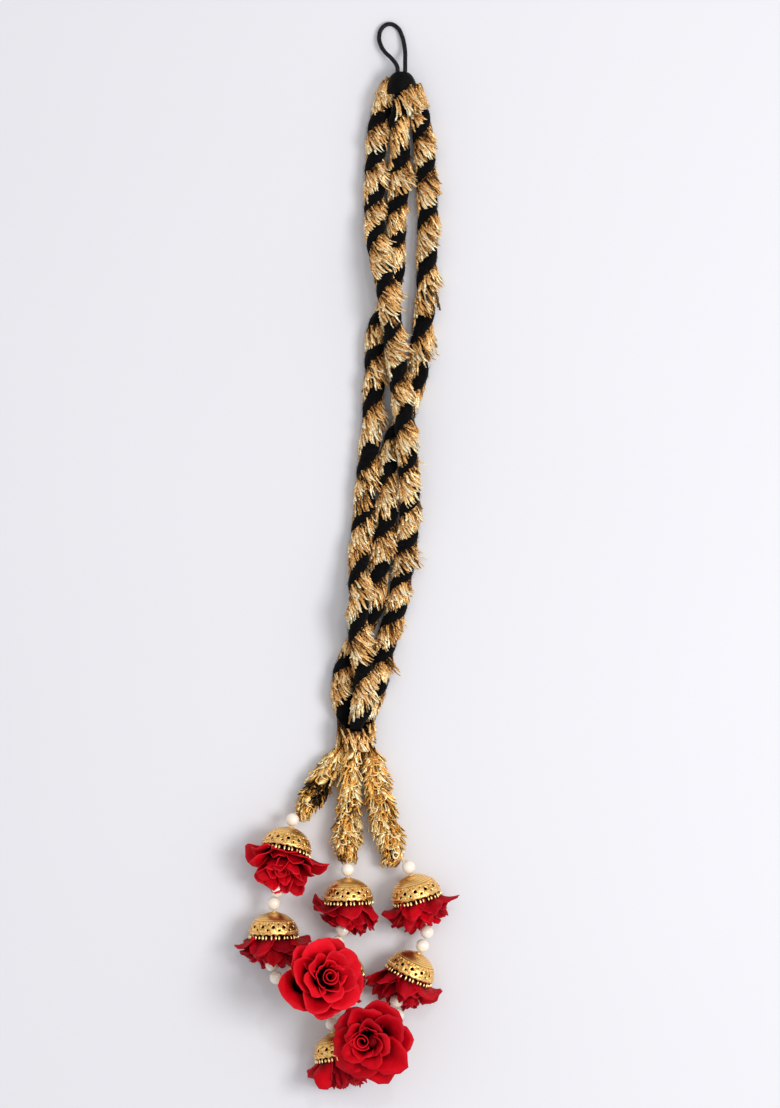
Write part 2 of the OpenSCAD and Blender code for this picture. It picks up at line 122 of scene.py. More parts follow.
# Layers of petals, from the cap inwards: the share of the reach, the radius and the depth of a
# petal's foot and of its bend over the cap's rim, the depth of its tip, and the layer's turn
LAYERS = (
    Layer(1.0, (8.6, 9.5), (12.6, 15.6), 20, 36),
    Layer(0.9, (7.4, 12), (10.5, 19), 25.5, 0),
    Layer(0.62, (5.9, 15), (8.4, 23.5), 30.5, 36),
)
INNER_LAYER = Layer(0.36, (4.9, 17), (7.4, 22.5), 29, 20)


# Settings

def length(name, description, default, high=0.1):
    """A size in metres that a user may change"""
    return bpy.props.FloatProperty(name=name, description=description, default=default, min=0,
                                   max=high, unit="LENGTH", subtype="DISTANCE", precision=5)


def colour(name, description, default):
    """A colour that a user may change"""
    return bpy.props.FloatVectorProperty(name=name, description=description, default=default,
                                         size=4, min=0, max=1, subtype="COLOR")


class StageSettings(bpy.types.PropertyGroup):
    """The floor, the lights and the camera"""
    floor_colour: colour("Floor", "Colour of the floor", (0.707, 0.702, 0.727, 1))
    view_height: length("View Height", "Height of the camera's view on the floor", 0.6648, 2)
    view_x: length("View X", "Middle of the view along x", 0.0254, 1)
    view_y: length("View Y", "Middle of the view along y", 0.0153, 1)
    lens: bpy.props.FloatProperty(name="Lens", description="Focal length in millimetres",
                                  default=250, min=50, max=400)
    key_power: bpy.props.FloatProperty(name="Key Light", description="Power of the soft key light",
                                       default=23.5, min=0, unit="POWER")
    sky: bpy.props.FloatProperty(name="Sky", description="Strength of the light from all round",
                                 default=0.68, min=0, max=2)


class LoopSettings(bpy.types.PropertyGroup):
    """The elastic loop"""
    thickness: length("Thickness", "Diameter of the elastic", 2.6 * MM)
    elastic_colour: colour("Elastic", "Colour of the elastic", (0.0015, 0.0015, 0.002, 1))


class RopeSettings(bpy.types.PropertyGroup):
    """The black wool ropes and the wrapped head"""
    radius: length("Radius", "Radius of a rope under its fringe", 4.6 * MM)
    swell: length("Swell", "How far the bare wool bulges between two windings", 1.8 * MM)
    plies: bpy.props.IntProperty(name="Yarns", description="Yarns seen round a rope", default=11,
                                 min=3, max=20)
    wool_colour: colour("Wool", "Colour of the wool", (0.0015, 0.0012, 0.002, 1))
    head_colour: colour("Head Thread", "Colour of the thread on the head", (0.0012, 0.001, 0.001, 1))


class FringeSettings(bpy.types.PropertyGroup):
    """The gold fringe on the ropes, at the join and in the tails"""
    strand: length("Strand", "Width of a twisted strand", 1.35 * MM)
    long_lock: length("Long Lock", "Length of a long lock", 17.5 * MM)
    per_turn: bpy.props.IntProperty(name="Strands a Turn", description="Strands round a rope",
                                    default=27, min=8, max=40)
    # Brown is painted shade in the depth of the fringe; bright and cream are partly painted
    # highlight, and tail cream is painted highlight, most of all on the leaves of foil
    brown: colour("Brown", "Colour in the depth of the fringe", (0.19, 0.07, 0.015, 1))
    gold: colour("Gold", "Main colour of the wound fringe", (0.84, 0.44, 0.135, 1))
    bright: colour("Bright Gold", "Colour of its bright strands", (0.97, 0.69, 0.33, 1))
    cream: colour("Cream", "Colour of its brightest tips", (1.0, 0.90, 0.62, 1))
    tail_gold: colour("Tail Gold", "Main colour of the tails", (1.0, 0.46, 0.08, 1))
    tail_bright: colour("Bright Tail Gold", "Colour of their bright strands", (1.0, 0.66, 0.20, 1))
    tail_cream: colour("Tail Cream", "Colour of their leaves of foil", (1.0, 0.84, 0.48, 1))


class CapSettings(bpy.types.PropertyGroup):
    """The filigree caps"""
    radius: length("Radius", "Radius of a cap at its mouth", 15 * MM)
    height: length("Height", "Height of a cap", 13.5 * MM)
    wall: length("Wall", "Thickness of a cap's wall", 0.7 * MM)
    holes: bpy.props.IntProperty(name="Holes", description="Pierced holes round a cap", default=13,
                                 min=6, max=20)
    brass: colour("Brass", "Colour of the caps", (1.0, 0.51, 0.12, 1))


class RoseSettings(bpy.types.PropertyGroup):
    """The cloth roses"""
    cloth: length("Cloth", "Thickness of the stiff cloth", 0.45 * MM)
    curl: length("Curl", "How far a petal's edge rolls back", 1.6 * MM)
    ruffle: length("Ruffle", "Height of the waves along a petal's edge", 1.6 * MM)
    light_red: colour("Light Red", "Colour of the lit cloth", (0.54, 0.001, 0.007, 1))
    # Deep red is painted shade, in the folds and at the petals' feet
    deep_red: colour("Deep Red", "Colour in the folds", (0.15, 0.0, 0.005, 1))
    burnt: colour("Burnt Edge", "Colour of the sealed edges", (0.06, 0.0, 0.006, 1))


class PearlSettings(bpy.types.PropertyGroup):
    """The pearls and their threads"""
    nacre: colour("Nacre", "Colour of the pearls", (0.88, 0.77, 0.64, 1))
    thread: colour("Thread", "Colour of the threads", (0.72, 0.62, 0.48, 1))


# Places

def place(point):
    """A point of the source, in its millimetres, as a place in the frame"""
    return (Vector(point) - MIDDLE) * MM


def to_y(heights):
    """Heights along y in the source's millimetres, as places in the frame"""
    return (np.asarray(heights, float) - MIDDLE.y) * MM


def unit_rows(rows):
    """Rows of vectors made one long"""
    return rows / np.linalg.norm(rows, axis=-1, keepdims=True)


def smooth_step(value, start, end):
    """0 before the start and 1 after the end, with a soft rise between"""
    share = np.clip((value - start) / (end - start), 0, 1)
    return share * share * (3 - 2 * share)


def above_floor(places):
    """Places, of which those under the floor are lifted onto it"""
    places[..., 2] = np.maximum(places[..., 2], FLOOR_GAP)
    return places


def round_rope(turns):
    """Angle round a rope at these turns of its fringe, each of which begins on top"""
    return math.pi / 2 + 2 * math.pi * turns


def corners_of(made):
    """The places of an object's corners, as rows"""
    places = np.empty(len(made.data.vertices) * 3, np.float32)
    made.data.vertices.foreach_get("co", places)
    return places.reshape(-1, 3).astype(float)


class CentreLine:
    """Middle and width of a rope or tail at each height along y, read from its solid"""

    step = 2 * MM
    # How far from the solid's ends the line begins and ends
    margin = 0.3 * MM
    # Weights by which neighbouring steps smooth each other
    soft = np.array([1, 2, 3, 2, 1]) / 9

    def __init__(self, node):
        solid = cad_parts[node]
        corners = corners_of(solid)
        edges = np.empty(len(solid.data.edges) * 2, np.int32)
        solid.data.edges.foreach_get("vertices", edges)
        starts, ends = corners[edges[::2]], corners[edges[1::2]]
        low = corners[:, 1].min() + self.margin
        high = corners[:, 1].max() - self.margin
        self.y = np.linspace(low, high, max(4, round((high - low) / self.step)))
        rows = [self.cut(starts, ends, y) for y in self.y]
        padded = np.pad(rows, ((2, 2), (0, 0)), mode="reflect", reflect_type="odd")
        self.x, self.z, self.r = (np.convolve(column, self.soft, "valid") for column in padded.T)

    def cut(self, starts, ends, y):
        """Middle, as x and z, and radius of the solid where edges cross a height"""
        crossing = (starts[:, 1] - y) * (ends[:, 1] - y) < 0
        starts, ends = starts[crossing], ends[crossing]
        share = ((y - starts[:, 1]) / (ends[:, 1] - starts[:, 1]))[:, None]
        points = (starts + share * (ends - starts))[:, ::2]
        middle = (points.min(0) + points.max(0)) / 2
        return *middle, np.linalg.norm(points - middle, axis=1).max()

    def straighten(self, start, reach):
        """Lets the line run straight on, above a height, over a reach"""
        kept = self.y < start
        last = kept.sum() - 1
        steps = np.arange(1, 9) * reach / 8
        for name in ("x", "z", "r"):
            rows = getattr(self, name)
            slope = (rows[last] - rows[last - 6]) / (self.y[last] - self.y[last - 6])
            setattr(self, name, np.append(rows[kept], rows[last] + slope * steps))
        self.y = np.append(self.y[kept], self.y[last] + steps)

    def centre(self, y):
        """Middle of the line at these heights"""
        return np.stack([np.interp(y, self.y, self.x), y, np.interp(y, self.y, self.z)], -1)

    def ring(self, y, angle, radius):
        """Points round the line: angle 0 is to the right, and a quarter turn is on top"""
        near = 0.75 * self.step
        heading = unit_rows(self.centre(y - near) - self.centre(y + near))
        right = unit_rows(np.cross([0, 0, 1], heading))
        up = np.cross(heading, right)
        across = np.cos(angle)[..., None] * right + np.sin(angle)[..., None] * up
        return self.centre(y) + np.asarray(radius)[..., None] * across


# Modelling

def only(*objects):
    """Selects these objects alone, with the last one active"""
    bpy.ops.object.select_all(action="DESELECT")
    for made in objects:
        made.select_set(True)
    if objects:
        bpy.context.view_layer.objects.active = objects[-1]


def select_corners(made, chosen):
    """Goes into edit mode and selects the corners whose place passes a test"""
    only(made)
    bpy.ops.object.mode_set(mode="EDIT")
    bpy.ops.mesh.select_mode(type="VERT")
    bpy.ops.mesh.select_all(action="DESELECT")
    shape = bmesh.from_edit_mesh(made.data)
    for corner in shape.verts:
        corner.select = chosen(corner.co)
    shape.select_flush(True)
    bmesh.update_edit_mesh(made.data)


def object_mode():
    """Leaves edit mode"""
    bpy.ops.object.mode_set(mode="OBJECT")


def apply_modifier(made, kind, **settings):
    """Adds a modifier to an object and applies it"""
    only(made)
    bpy.ops.object.modifier_add(type=kind)
    modifier = made.modifiers[-1]
    for name, value in settings.items():
        setattr(modifier, name, value)
    bpy.ops.object.modifier_apply(modifier=modifier.name)


def move_corners(made, places):
    """Moves every corner of an object to its new place"""
    made.data.vertices.foreach_set("co", np.asarray(places, np.float32).ravel())
    made.data.update()


def rest_on_floor(made):
    """Lifts the corners that would lie under the floor onto it"""
    move_corners(made, above_floor(corners_of(made)))


def paint(made, name, values):
    """Stores a value for each corner, which the materials read"""
    held = made.data.attributes.get(name) or made.data.attributes.new(name, "FLOAT", "POINT")
    rows = np.broadcast_to(np.asarray(values, np.float32), (len(made.data.vertices),))
    held.data.foreach_set("value", np.ascontiguousarray(rows))


def own_copy(made):
    """A copy of an object with its own mesh"""
    twin = made.copy()
    twin.data = made.data.copy()
    bpy.context.scene.collection.objects.link(twin)
    return twin


def take_template(made):
    """An object's corners and faces, for copies of it; the object itself is removed"""
    faces = [tuple(face.vertices) for face in made.data.polygons]
    corners = corners_of(made)
    bpy.data.objects.remove(made)
    return corners, faces


def mesh_of_parts(name, parts, tints=None):
    """One object of many small parts, each given as its corners and its faces"""
    corners, faces, start = [], [], 0
    for places, part_faces in parts:
        corners.append(places)
        faces.extend(tuple(start + k for k in face) for face in part_faces)
        start += len(places)
    mesh = bpy.data.meshes.new(name)
    mesh.from_pydata(np.concatenate(corners).tolist(), [], faces)
    mesh.shade_smooth()
    made = bpy.data.objects.new(name, mesh)
    bpy.context.scene.collection.objects.link(made)
    if tints:
        paint(made, "tint", np.concatenate(tints))
    return made


def join(name, parts):
    """Joins objects into one"""
    only(*parts)
    bpy.ops.object.join()
    made = bpy.context.view_layer.objects.active
    made.name = name
    return made


def clean_shell(made, fill_ends):
    """Merges the seam of a rolled sheet, closes its ends or not, and turns its faces outwards"""
    only(made)
    bpy.ops.object.mode_set(mode="EDIT")
    bpy.ops.mesh.select_all(action="SELECT")
    bpy.ops.mesh.remove_doubles(threshold=SEAM)
    if fill_ends:
        bpy.ops.mesh.fill_holes(sides=0)
    bpy.ops.mesh.normals_make_consistent(inside=False)
    object_mode()
    made.data.shade_smooth()


def grid_sheet(name, columns, rows, mapping):
    """A grid whose corners, given as u and v from 0 to 1, are moved by a mapping"""
    only()
    bpy.ops.mesh.primitive_grid_add(x_subdivisions=columns, y_subdivisions=rows, size=1)
    made = bpy.context.object
    made.name = name
    flat = corners_of(made)
    move_corners(made, mapping(flat[:, 0] + 0.5, flat[:, 1] + 0.5))
    made.data.shade_smooth()
    return made


def flat_grid(name, columns, rows):
    """A flat grid from 0 to 1 along x and y"""
    return grid_sheet(name, columns, rows, lambda u, v: np.stack([u, v, 0 * u], -1))


def rolled_sheet(name, columns, rows, mapping):
    """A closed tube: a grid whose u goes once round and whose v runs along it"""
    made = grid_sheet(name, columns, rows, mapping)
    clean_shell(made, fill_ends=True)
    return made


def cord_curve(name, points, thickness, sides):
    """A round cord of one open spline"""
    only()
    bpy.ops.curve.primitive_bezier_curve_add()
    made = bpy.context.object
    made.name = name
    curve = made.data
    curve.splines.clear()
    spline = curve.splines.new("BEZIER")
    spline.bezier_points.add(len(points) - 1)
    for knot, point in zip(spline.bezier_points, points):
        knot.co = point
        knot.handle_left_type = knot.handle_right_type = "AUTO"
    curve.resolution_u = curve.render_resolution_u = 6
    curve.bevel_depth = thickness / 2
    curve.bevel_resolution = sides
    curve.use_fill_caps = True
    return made


def as_mesh(made):
    """Turns a curve into a mesh"""
    only(made)
    bpy.ops.object.convert(target="MESH")
    return bpy.context.object


def hand_over(piece, name, finish, nodes):
    """Names a finished piece, gives it its material and places it in the frame"""
    piece.name = name
    piece.data.name = name
    piece.data.materials.clear()
    piece.data.materials.append(finish)
    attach(piece, BODY)
    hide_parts(*nodes)


def coat_node(node, finish):
    """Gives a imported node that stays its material"""
    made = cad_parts[node]
    if not made.material_slots:
        made.data.materials.append(finish)
    for held in made.material_slots:
        held.material = finish


# Materials

def new_finish(name, **values):
    """A node material whose shader has these values on its own sockets"""
    made = bpy.data.materials.new(name)
    made.use_nodes = True
    shader = made.node_tree.nodes["Principled BSDF"]
    for socket, value in values.items():
        shader.inputs[socket.replace("_", " ")].default_value = value
    return made, made.node_tree, shader


def add_node(tree, kind, settings=(), **inputs):
    """A node with its settings and its inputs, each a value or another node's output"""
    made = tree.nodes.new("ShaderNode" + kind)
    for name, value in dict(settings).items():
        setattr(made, name, value)
    for name, value in inputs.items():
        key = int(name[1:]) if name[0] == "_" else name.replace("_", " ")
        if isinstance(value, bpy.types.NodeSocket):
            tree.links.new(value, made.inputs[key])
        else:
            made.inputs[key].default_value = value
    return made


def grey(value):
    """A grey tone"""
    return (value, value, value, 1)


def ramp(tree, factor, *stops):
    """Colours along a factor, from stops of a position and a colour"""
    made = tree.nodes.new("ShaderNodeValToRGB")
    tree.links.new(factor, made.inputs["Fac"])
    elements = made.color_ramp.elements
    while len(elements) < len(stops):
        elements.new(1)
    for element, (position, tone) in zip(elements, stops):
        element.position = position
        element.color = tone
    return made.outputs["Color"]


def maths(tree, operation, a, b):
    """One step of arithmetic"""
    return add_node(tree, "Math", {"operation": operation}, _0=a, _1=b).outputs[0]


def scaled(tree, value, share):
    """A value times a number"""
    return maths(tree, "MULTIPLY", value, share)


def mixed_tone(tree, factor, low, high, blend="MIX"):
    """A colour blended with another, by a factor"""
    made = add_node(tree, "Mix", {"data_type": "RGBA", "blend_type": blend}, _0=factor, _6=low,
                    _7=high)
    return made.outputs[2]


def painted(tree, name):
    """A value that was painted on the corners"""
    return add_node(tree, "Attribute", {"attribute_name": name}).outputs["Fac"]


def on_object(tree):
    """Places on the object itself, in metres"""
    return add_node(tree, "TexCoord").outputs["Object"]


def object_noise(tree, scale, detail=3.0, roughness=0.6, stretch=None):
    """Noise on Object coordinates, in lumps of about one over the scale in metres"""
    source = on_object(tree)
    if stretch:
        source = add_node(tree, "Mapping", Vector=source, Scale=stretch).outputs["Vector"]
    made = add_node(tree, "TexNoise", Vector=source, Scale=scale, Detail=detail,
                    Roughness=roughness)
    return made.outputs["Fac"]


def tone_and_gloss(tree, shader, tone, factor, smooth, rough):
    """Gives a shader its colour, and a roughness that follows a factor between two values"""
    tree.links.new(tone, shader.inputs["Base Color"])
    gloss = ramp(tree, factor, (0.3, grey(smooth)), (0.7, grey(rough)))
    tree.links.new(gloss, shader.inputs["Roughness"])


def bump(tree, shader, height, distance, strength):
    """Raises a surface by a height, at most by a distance in metres"""
    made = add_node(tree, "Bump", Height=height, Distance=distance, Strength=strength)
    tree.links.new(made.outputs["Normal"], shader.inputs["Normal"])


def elastic_finish(settings):
    """Black elastic in a fine braided sleeve"""
    made, tree, shader = new_finish("elastic", Sheen_Weight=0.02, Specular_IOR_Level=0.2)
    uv = add_node(tree, "UVMap").outputs["UV"]
    turned = add_node(tree, "Mapping", Vector=uv, Scale=(60, 8, 1), Rotation=(0, 0, 0.6))
    weave = add_node(tree, "TexVoronoi", Vector=turned.outputs["Vector"], Scale=1.0)
    threads = weave.outputs["Distance"]
    tone = ramp(tree, threads, (0.1, (0.012, 0.012, 0.015, 1)), (0.7, settings.elastic_colour))
    tone_and_gloss(tree, shader, tone, object_noise(tree, 900), 0.42, 0.62)
    bump(tree, shader, threads, 0.15 * MM, 0.5)
    return made


def wool_finish(settings):
    """Black wool: soft, matt and a little uneven, with a cool bloom where light grazes it"""
    made, tree, shader = new_finish("black_wool", Sheen_Weight=0.03, Sheen_Roughness=0.5,
                                    Specular_IOR_Level=0.06)
    lumps = object_noise(tree, 420, 4)
    hairs = object_noise(tree, 1500, 3, 0.7, (1, 0.25, 1))
    tone = ramp(tree, lumps, (0.3, settings.wool_colour), (0.58, (0.003, 0.0028, 0.003, 1)),
                (0.75, (0.009, 0.006, 0.006, 1)))
    tone_and_gloss(tree, shader, tone, hairs, 0.78, 1.0)
    bump(tree, shader, maths(tree, "ADD", scaled(tree, lumps, 0.6), hairs), 0.5 * MM, 0.9)
    return made


def head_finish(settings):
    """Black thread wound on the head"""
    made, tree, shader = new_finish("head_thread", Specular_IOR_Level=0.06)
    fine = object_noise(tree, 1400, 3, 0.7, (0.3, 1, 0.3))
    tone = ramp(tree, fine, (0.35, settings.head_colour), (0.7, (0.006, 0.005, 0.005, 1)))
    tone_and_gloss(tree, shader, tone, object_noise(tree, 300), 0.42, 0.6)
    bump(tree, shader, fine, 0.2 * MM, 0.6)
    return made


def fringe_finish(settings, name, gold, bright, cream):
    """Gilt thread: its tint goes from the brown of the roots to the cream of the tips, painted shade
    to painted highlight, with random tone between
    """
    made, tree, shader = new_finish(name, Metallic=0.35, Specular_IOR_Level=0.3,
                                    Specular_Tint=(1, 0.8, 0.5, 1))
    speck = object_noise(tree, 1300, 2)
    speckle = scaled(tree, maths(tree, "SUBTRACT", speck, 0.5), 0.8)
    mixed = maths(tree, "ADD", painted(tree, "tint"), speckle)
    # Near black and brown are painted shade; bright and cream are painted highlight, mixed with
    # random tone
    tone = ramp(tree, mixed, (0.0, (0.015, 0.007, 0.003, 1)), (0.14, settings.brown),
                (0.45, gold), (0.68, bright), (0.92, cream))
    tone_and_gloss(tree, shader, tone, speck, 0.18, 0.38)
    turns = add_node(tree, "TexWave", {"bands_direction": "DIAGONAL"}, Vector=on_object(tree),
                     Scale=420.0, Distortion=2.0)
    bump(tree, shader, turns.outputs["Fac"], 0.12 * MM, 0.6)
    return made


def brass_finish(settings):
    """Gilt brass of the caps: satin, with painted shade in the recesses and in the holes of a fine
    lace
    """
    made, tree, shader = new_finish("gilt_brass", Metallic=1.0)
    # Painted shade: dark cell edges in the lace band, as of its fine holes; the bump presses them in
    # too
    cells = add_node(tree, "TexVoronoi", Scale=780.0, Vector=on_object(tree))
    rims = ramp(tree, cells.outputs["Distance"], (0.35, grey(0)), (0.7, grey(0.55)))
    lace = maths(tree, "MULTIPLY", painted(tree, "lace"), rims)
    # Painted shade in the grooves, read from the tint painted on the wall
    groove_shade = scaled(tree, painted(tree, "tint"), 0.78)
    cloud = scaled(tree, object_noise(tree, 260, 3), 0.42)
    mixed = maths(tree, "SUBTRACT", maths(tree, "ADD", groove_shade, cloud), lace)
    tone = ramp(tree, mixed, (0.02, (0.14, 0.05, 0.01, 1)), (0.42, settings.brass),
                (0.95, (1.0, 0.75, 0.33, 1)))
    fine = object_noise(tree, 2200, 2)
    tone_and_gloss(tree, shader, tone, fine, 0.25, 0.4)
    bump(tree, shader, maths(tree, "SUBTRACT", scaled(tree, fine, 0.2), lace), 0.25 * MM, 0.6)
    return made


def way_to_edge(tree, across, along):
    """How far a place in a petal's map is from its sides and its tip, a little ragged"""
    side = maths(tree, "MINIMUM", across, maths(tree, "SUBTRACT", 1.0, across))
    edge = maths(tree, "MINIMUM", side, maths(tree, "SUBTRACT", 1.0, along))
    ragged = scaled(tree, maths(tree, "SUBTRACT", object_noise(tree, 500, 3), 0.5), 0.04)
    return maths(tree, "ADD", edge, ragged)


def cloth_finish(settings):
    """Red satin; each petal's own map gives the way to its edge, which is pale as a painted
    highlight and on some roses seared, and painted shade darkens its folds and its foot
    """
    made, tree, shader = new_finish("red_satin", Specular_IOR_Level=0.2,
                                    Specular_Tint=(1, 0.25, 0.28, 1))
    split = add_node(tree, "SeparateXYZ", Vector=add_node(tree, "UVMap").outputs["UV"])
    across, along = split.outputs["X"], split.outputs["Y"]
    edge = way_to_edge(tree, across, along)
    # Painted shade: a noise standing for shade in folds, and darker towards each petal's foot; the
    # painted tint is random per petal
    folds = object_noise(tree, 130, 3)
    shade = maths(tree, "ADD", scaled(tree, painted(tree, "tint"), 0.55), scaled(tree, folds, 0.3))
    shade = maths(tree, "ADD", shade, scaled(tree, along, 0.22))
    body = ramp(tree, shade, (0.15, settings.deep_red), (0.62, settings.light_red),
                (0.95, (0.78, 0.006, 0.018, 1)))
    # Painted highlight: a pale rim along each petal's edge
    pale = ramp(tree, edge, (0.0, grey(0.5)), (0.05, grey(0.0)))
    rimmed = mixed_tone(tree, pale, body, (0.86, 0.02, 0.035, 1))
    burn = ramp(tree, edge, (0.0, grey(0.9)), (0.022, grey(0.3)), (0.05, grey(0)))
    seared = maths(tree, "MULTIPLY", burn, painted(tree, "sear"))
    burnt = mixed_tone(tree, seared, rimmed, settings.burnt)
    # Painted shade: each petal goes dark towards its foot, under the cap's rim
    depth = ramp(tree, along, (0.5, grey(0.04)), (0.78, grey(1)))
    deepened = mixed_tone(tree, 1.0, burnt, depth, "MULTIPLY")
    tone_and_gloss(tree, shader, deepened, folds, 0.4, 0.6)
    bump(tree, shader, object_noise(tree, 240, 4), 0.8 * MM, 0.6)
    return made


def pearl_finish(settings):
    """Cream pearl with a soft, deep gloss"""
    made, tree, shader = new_finish("pearl", Coat_Weight=1.0, Coat_Roughness=0.04,
                                    Specular_IOR_Level=0.6)
    cloud = object_noise(tree, 160, 2)
    tone = ramp(tree, cloud, (0.3, settings.nacre), (0.7, (0.92, 0.83, 0.72, 1)))
    tone_and_gloss(tree, shader, tone, cloud, 0.14, 0.24)
    bump(tree, shader, object_noise(tree, 900, 2), 0.02 * MM, 0.3)
    return made


def thread_finish(settings):
    """Waxed stringing thread"""
    made, tree, shader = new_finish("stringing_thread", Specular_IOR_Level=0.4)
    fine = object_noise(tree, 2500, 2)
    tone = ramp(tree, fine, (0.3, settings.thread), (0.7, (0.85, 0.76, 0.6, 1)))
    tone_and_gloss(tree, shader, tone, fine, 0.5, 0.7)
    bump(tree, shader, fine, 0.05 * MM, 0.5)
    return made


def floor_finish(settings):
    """A plain, pale and very slightly uneven floor"""
    made, tree, shader = new_finish("pale_floor", Specular_IOR_Level=0.2)
    cloud = object_noise(tree, 3, 2)
    lighter = tuple(min(1, 1.015 * c) for c in settings.floor_colour)
    tone = ramp(tree, cloud, (0.3, settings.floor_colour), (0.7, lighter))
    tone_and_gloss(tree, shader, tone, cloud, 0.75, 0.8)
    return made


# Stage

class PARANDA_OT_stage(bpy.types.Operator):
    """Lay the floor, and set up the camera straight above it and the soft lights"""
    bl_idname = "paranda.stage"
    bl_label = "Stage"

    # The floor's side, and how far above the floor the camera's view is measured
    floor_side = 6
    view_level = 8 * MM
    # For each light: its place from the view's middle, its size and its share of the power
    lights = (
        ("key_light", (1.1, -0.16, 1.7), 0.75, 1.0),
        ("top_light", (0.0, 0.1, 1.8), 1.2, 0.08),
        ("spark_light", (0.3, 0.45, 1.6), 0.1, 0.08),
    )
    sky_colour = (0.96, 0.97, 1.0, 1)

    def execute(self, context):
        settings = context.scene.paranda_stage
        only()
        bpy.ops.mesh.primitive_plane_add(size=self.floor_side, location=(0, 0, 0))
        floor = bpy.context.object
        floor.name = "floor"
        floor.data.materials.append(floor_finish(settings))
        self.add_camera(context, settings)
        self.add_lights(settings)
        self.add_sky(context, settings)
        return {"FINISHED"}

    def add_camera(self, context, settings):
        """A camera that looks straight down"""
        bpy.ops.object.camera_add(rotation=(0, 0, 0))
        camera = bpy.context.object
        camera.data.lens = settings.lens
        # The long side of the picture, its height, spans the sensor's width
        distance = settings.view_height * settings.lens / camera.data.sensor_width
        camera.location = (settings.view_x, settings.view_y, distance + self.view_level)
        camera.data.clip_end = 4 * distance
        context.scene.camera = camera

    def add_lights(self, settings):
        """Soft lights that point at the view's middle"""
        middle = Vector((settings.view_x, settings.view_y, 0))
        for name, offset, size, share in self.lights:
            bpy.ops.object.light_add(type="AREA", location=middle + Vector(offset))
            light = bpy.context.object
            light.name = name
            light.data.size = size
            light.data.energy = share * settings.key_power
            light.rotation_euler = (-Vector(offset)).to_track_quat("-Z", "Y").to_euler()

    def add_sky(self, context, settings):
        """Even light from all round"""
        world = bpy.data.worlds.new("studio")
        world.use_nodes = True
        background = world.node_tree.nodes["Background"]
        background.inputs["Color"].default_value = self.sky_colour
        background.inputs["Strength"].default_value = settings.sky
        context.scene.world = world
        context.scene.view_settings.view_transform = "Standard"


# Loop and head

class PARANDA_OT_hanging_loop(bpy.types.Operator):
    """Lay the elastic loop from the head's top and back into it"""
    bl_idname = "paranda.hanging_loop"
    bl_label = "Hanging Loop"

    def execute(self, context):
        settings = context.scene.paranda_loop
        route = [place(point) for point in LOOP_ROUTE]
        loop = cord_curve("elastic_loop", route, settings.thickness, sides=4)
        hand_over(loop, "elastic_loop", elastic_finish(settings), ["hanging_loop"])
        return {"FINISHED"}


class PARANDA_OT_head(bpy.types.Operator):
    """Wind the head with thread, turn beside turn"""
    bl_idname = "paranda.head"
    bl_label = "Wrapped Head"

    turns = 15
    columns = 72
    rows_a_turn = 4
    thread_depth = 0.35 * MM
    # How far, in turns, the thread strays from an even winding
    stray = 0.8
    # Radius of the flat top, as a share of the head's, and how much of the height is rounded
    top_share = 0.22
    round_share = 0.94

    def execute(self, context):
        settings = context.scene.paranda_ropes
        low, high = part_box("head_wrap")
        self.middle = (low + high) / 2
        self.low, self.radius, self.height = low.y, (high.x - low.x) / 2, high.y - low.y
        made = rolled_sheet("wrapped_head", self.columns, self.turns * self.rows_a_turn, self.dome)
        hand_over(made, "wrapped_head", head_finish(settings), ["head_wrap"])
        return {"FINISHED"}

    def outline(self, v):
        """Radius and height of the dome, from its mouth over its shoulder to its flat top"""
        straight = 1 - self.round_share
        bend = np.clip((v - straight) / self.round_share, 0, 1) * math.pi / 2
        radius = self.radius * (self.top_share + (1 - self.top_share) * np.cos(bend))
        height = self.height * (np.minimum(v, straight) + self.round_share * np.sin(bend))
        return radius, height

    def dome(self, u, v):
        """The wound surface, with its two ends drawn in"""
        angle = 2 * math.pi * u
        radius, height = self.outline(v)
        winding = self.turns * v + self.stray * np.sin(angle + 0.6) * np.sin(math.pi * v)
        thread = np.abs(np.sin(math.pi * winding))
        inside = (v < 0.001) | (v > 0.999)
        radius = np.where(inside, radius * 0.9, radius - self.thread_depth * (1 - thread))
        return np.stack([self.middle.x + radius * np.cos(angle), self.low + height,
                         self.middle.z + radius * np.sin(angle)], -1)


# Strands

def strand_rows(top, tip, root_angle, tip_angle, radius, flare, tint=0.0, glow=0.0):
    """Rows for lay_on, one for each copy: the heights and the angles of its root and tip, its
    radius at the root, how far its tip stands off, its tint and how much brighter its tip is,
    as painted highlight"""
    columns = np.broadcast_arrays(top, tip, root_angle, tip_angle, radius, flare, tint, glow)
    return np.stack(columns, -1)


def lay_on(line, template, reach, laid, random):
    """Bends copies of a template over a line, one for each row of laid"""
    corners, faces = template
    share = np.clip(-corners[:, 1] / reach, -0.1, 1.1)
    x, h = corners[:, 0], corners[:, 2]
    top, tip, root_angle, tip_angle, radius, flare, tint, glow = (c[:, None] for c in laid.T)
    wander = random.normal(0, STRAND_WANDER, (len(laid), 1)) * np.sin(math.pi * share)[None]
    y = top + (tip - top) * share
    out = radius + flare * share**2 + h
    angle = root_angle + (tip_angle - root_angle) * share
    angle = angle + (x + wander) / np.maximum(radius, THINNEST)
    places = above_floor(line.ring(y, angle, out))
    # Each strand's tint rises from root to tip: painted shade at the roots, painted highlight at the
    # tips
    return [(rows, faces) for rows in places], list(tint + glow * share)


def hair(width, reach):
    """A tapering hair along -y"""
    only()
    bpy.ops.mesh.primitive_cone_add(vertices=3, radius1=width / 2, radius2=0.15 * width, depth=reach,
                                    location=(0, -reach / 2, 0), rotation=(math.pi / 2, 0, 0))
    bpy.ops.object.transform_apply(location=True, rotation=True, scale=True)
    return take_template(bpy.context.object)


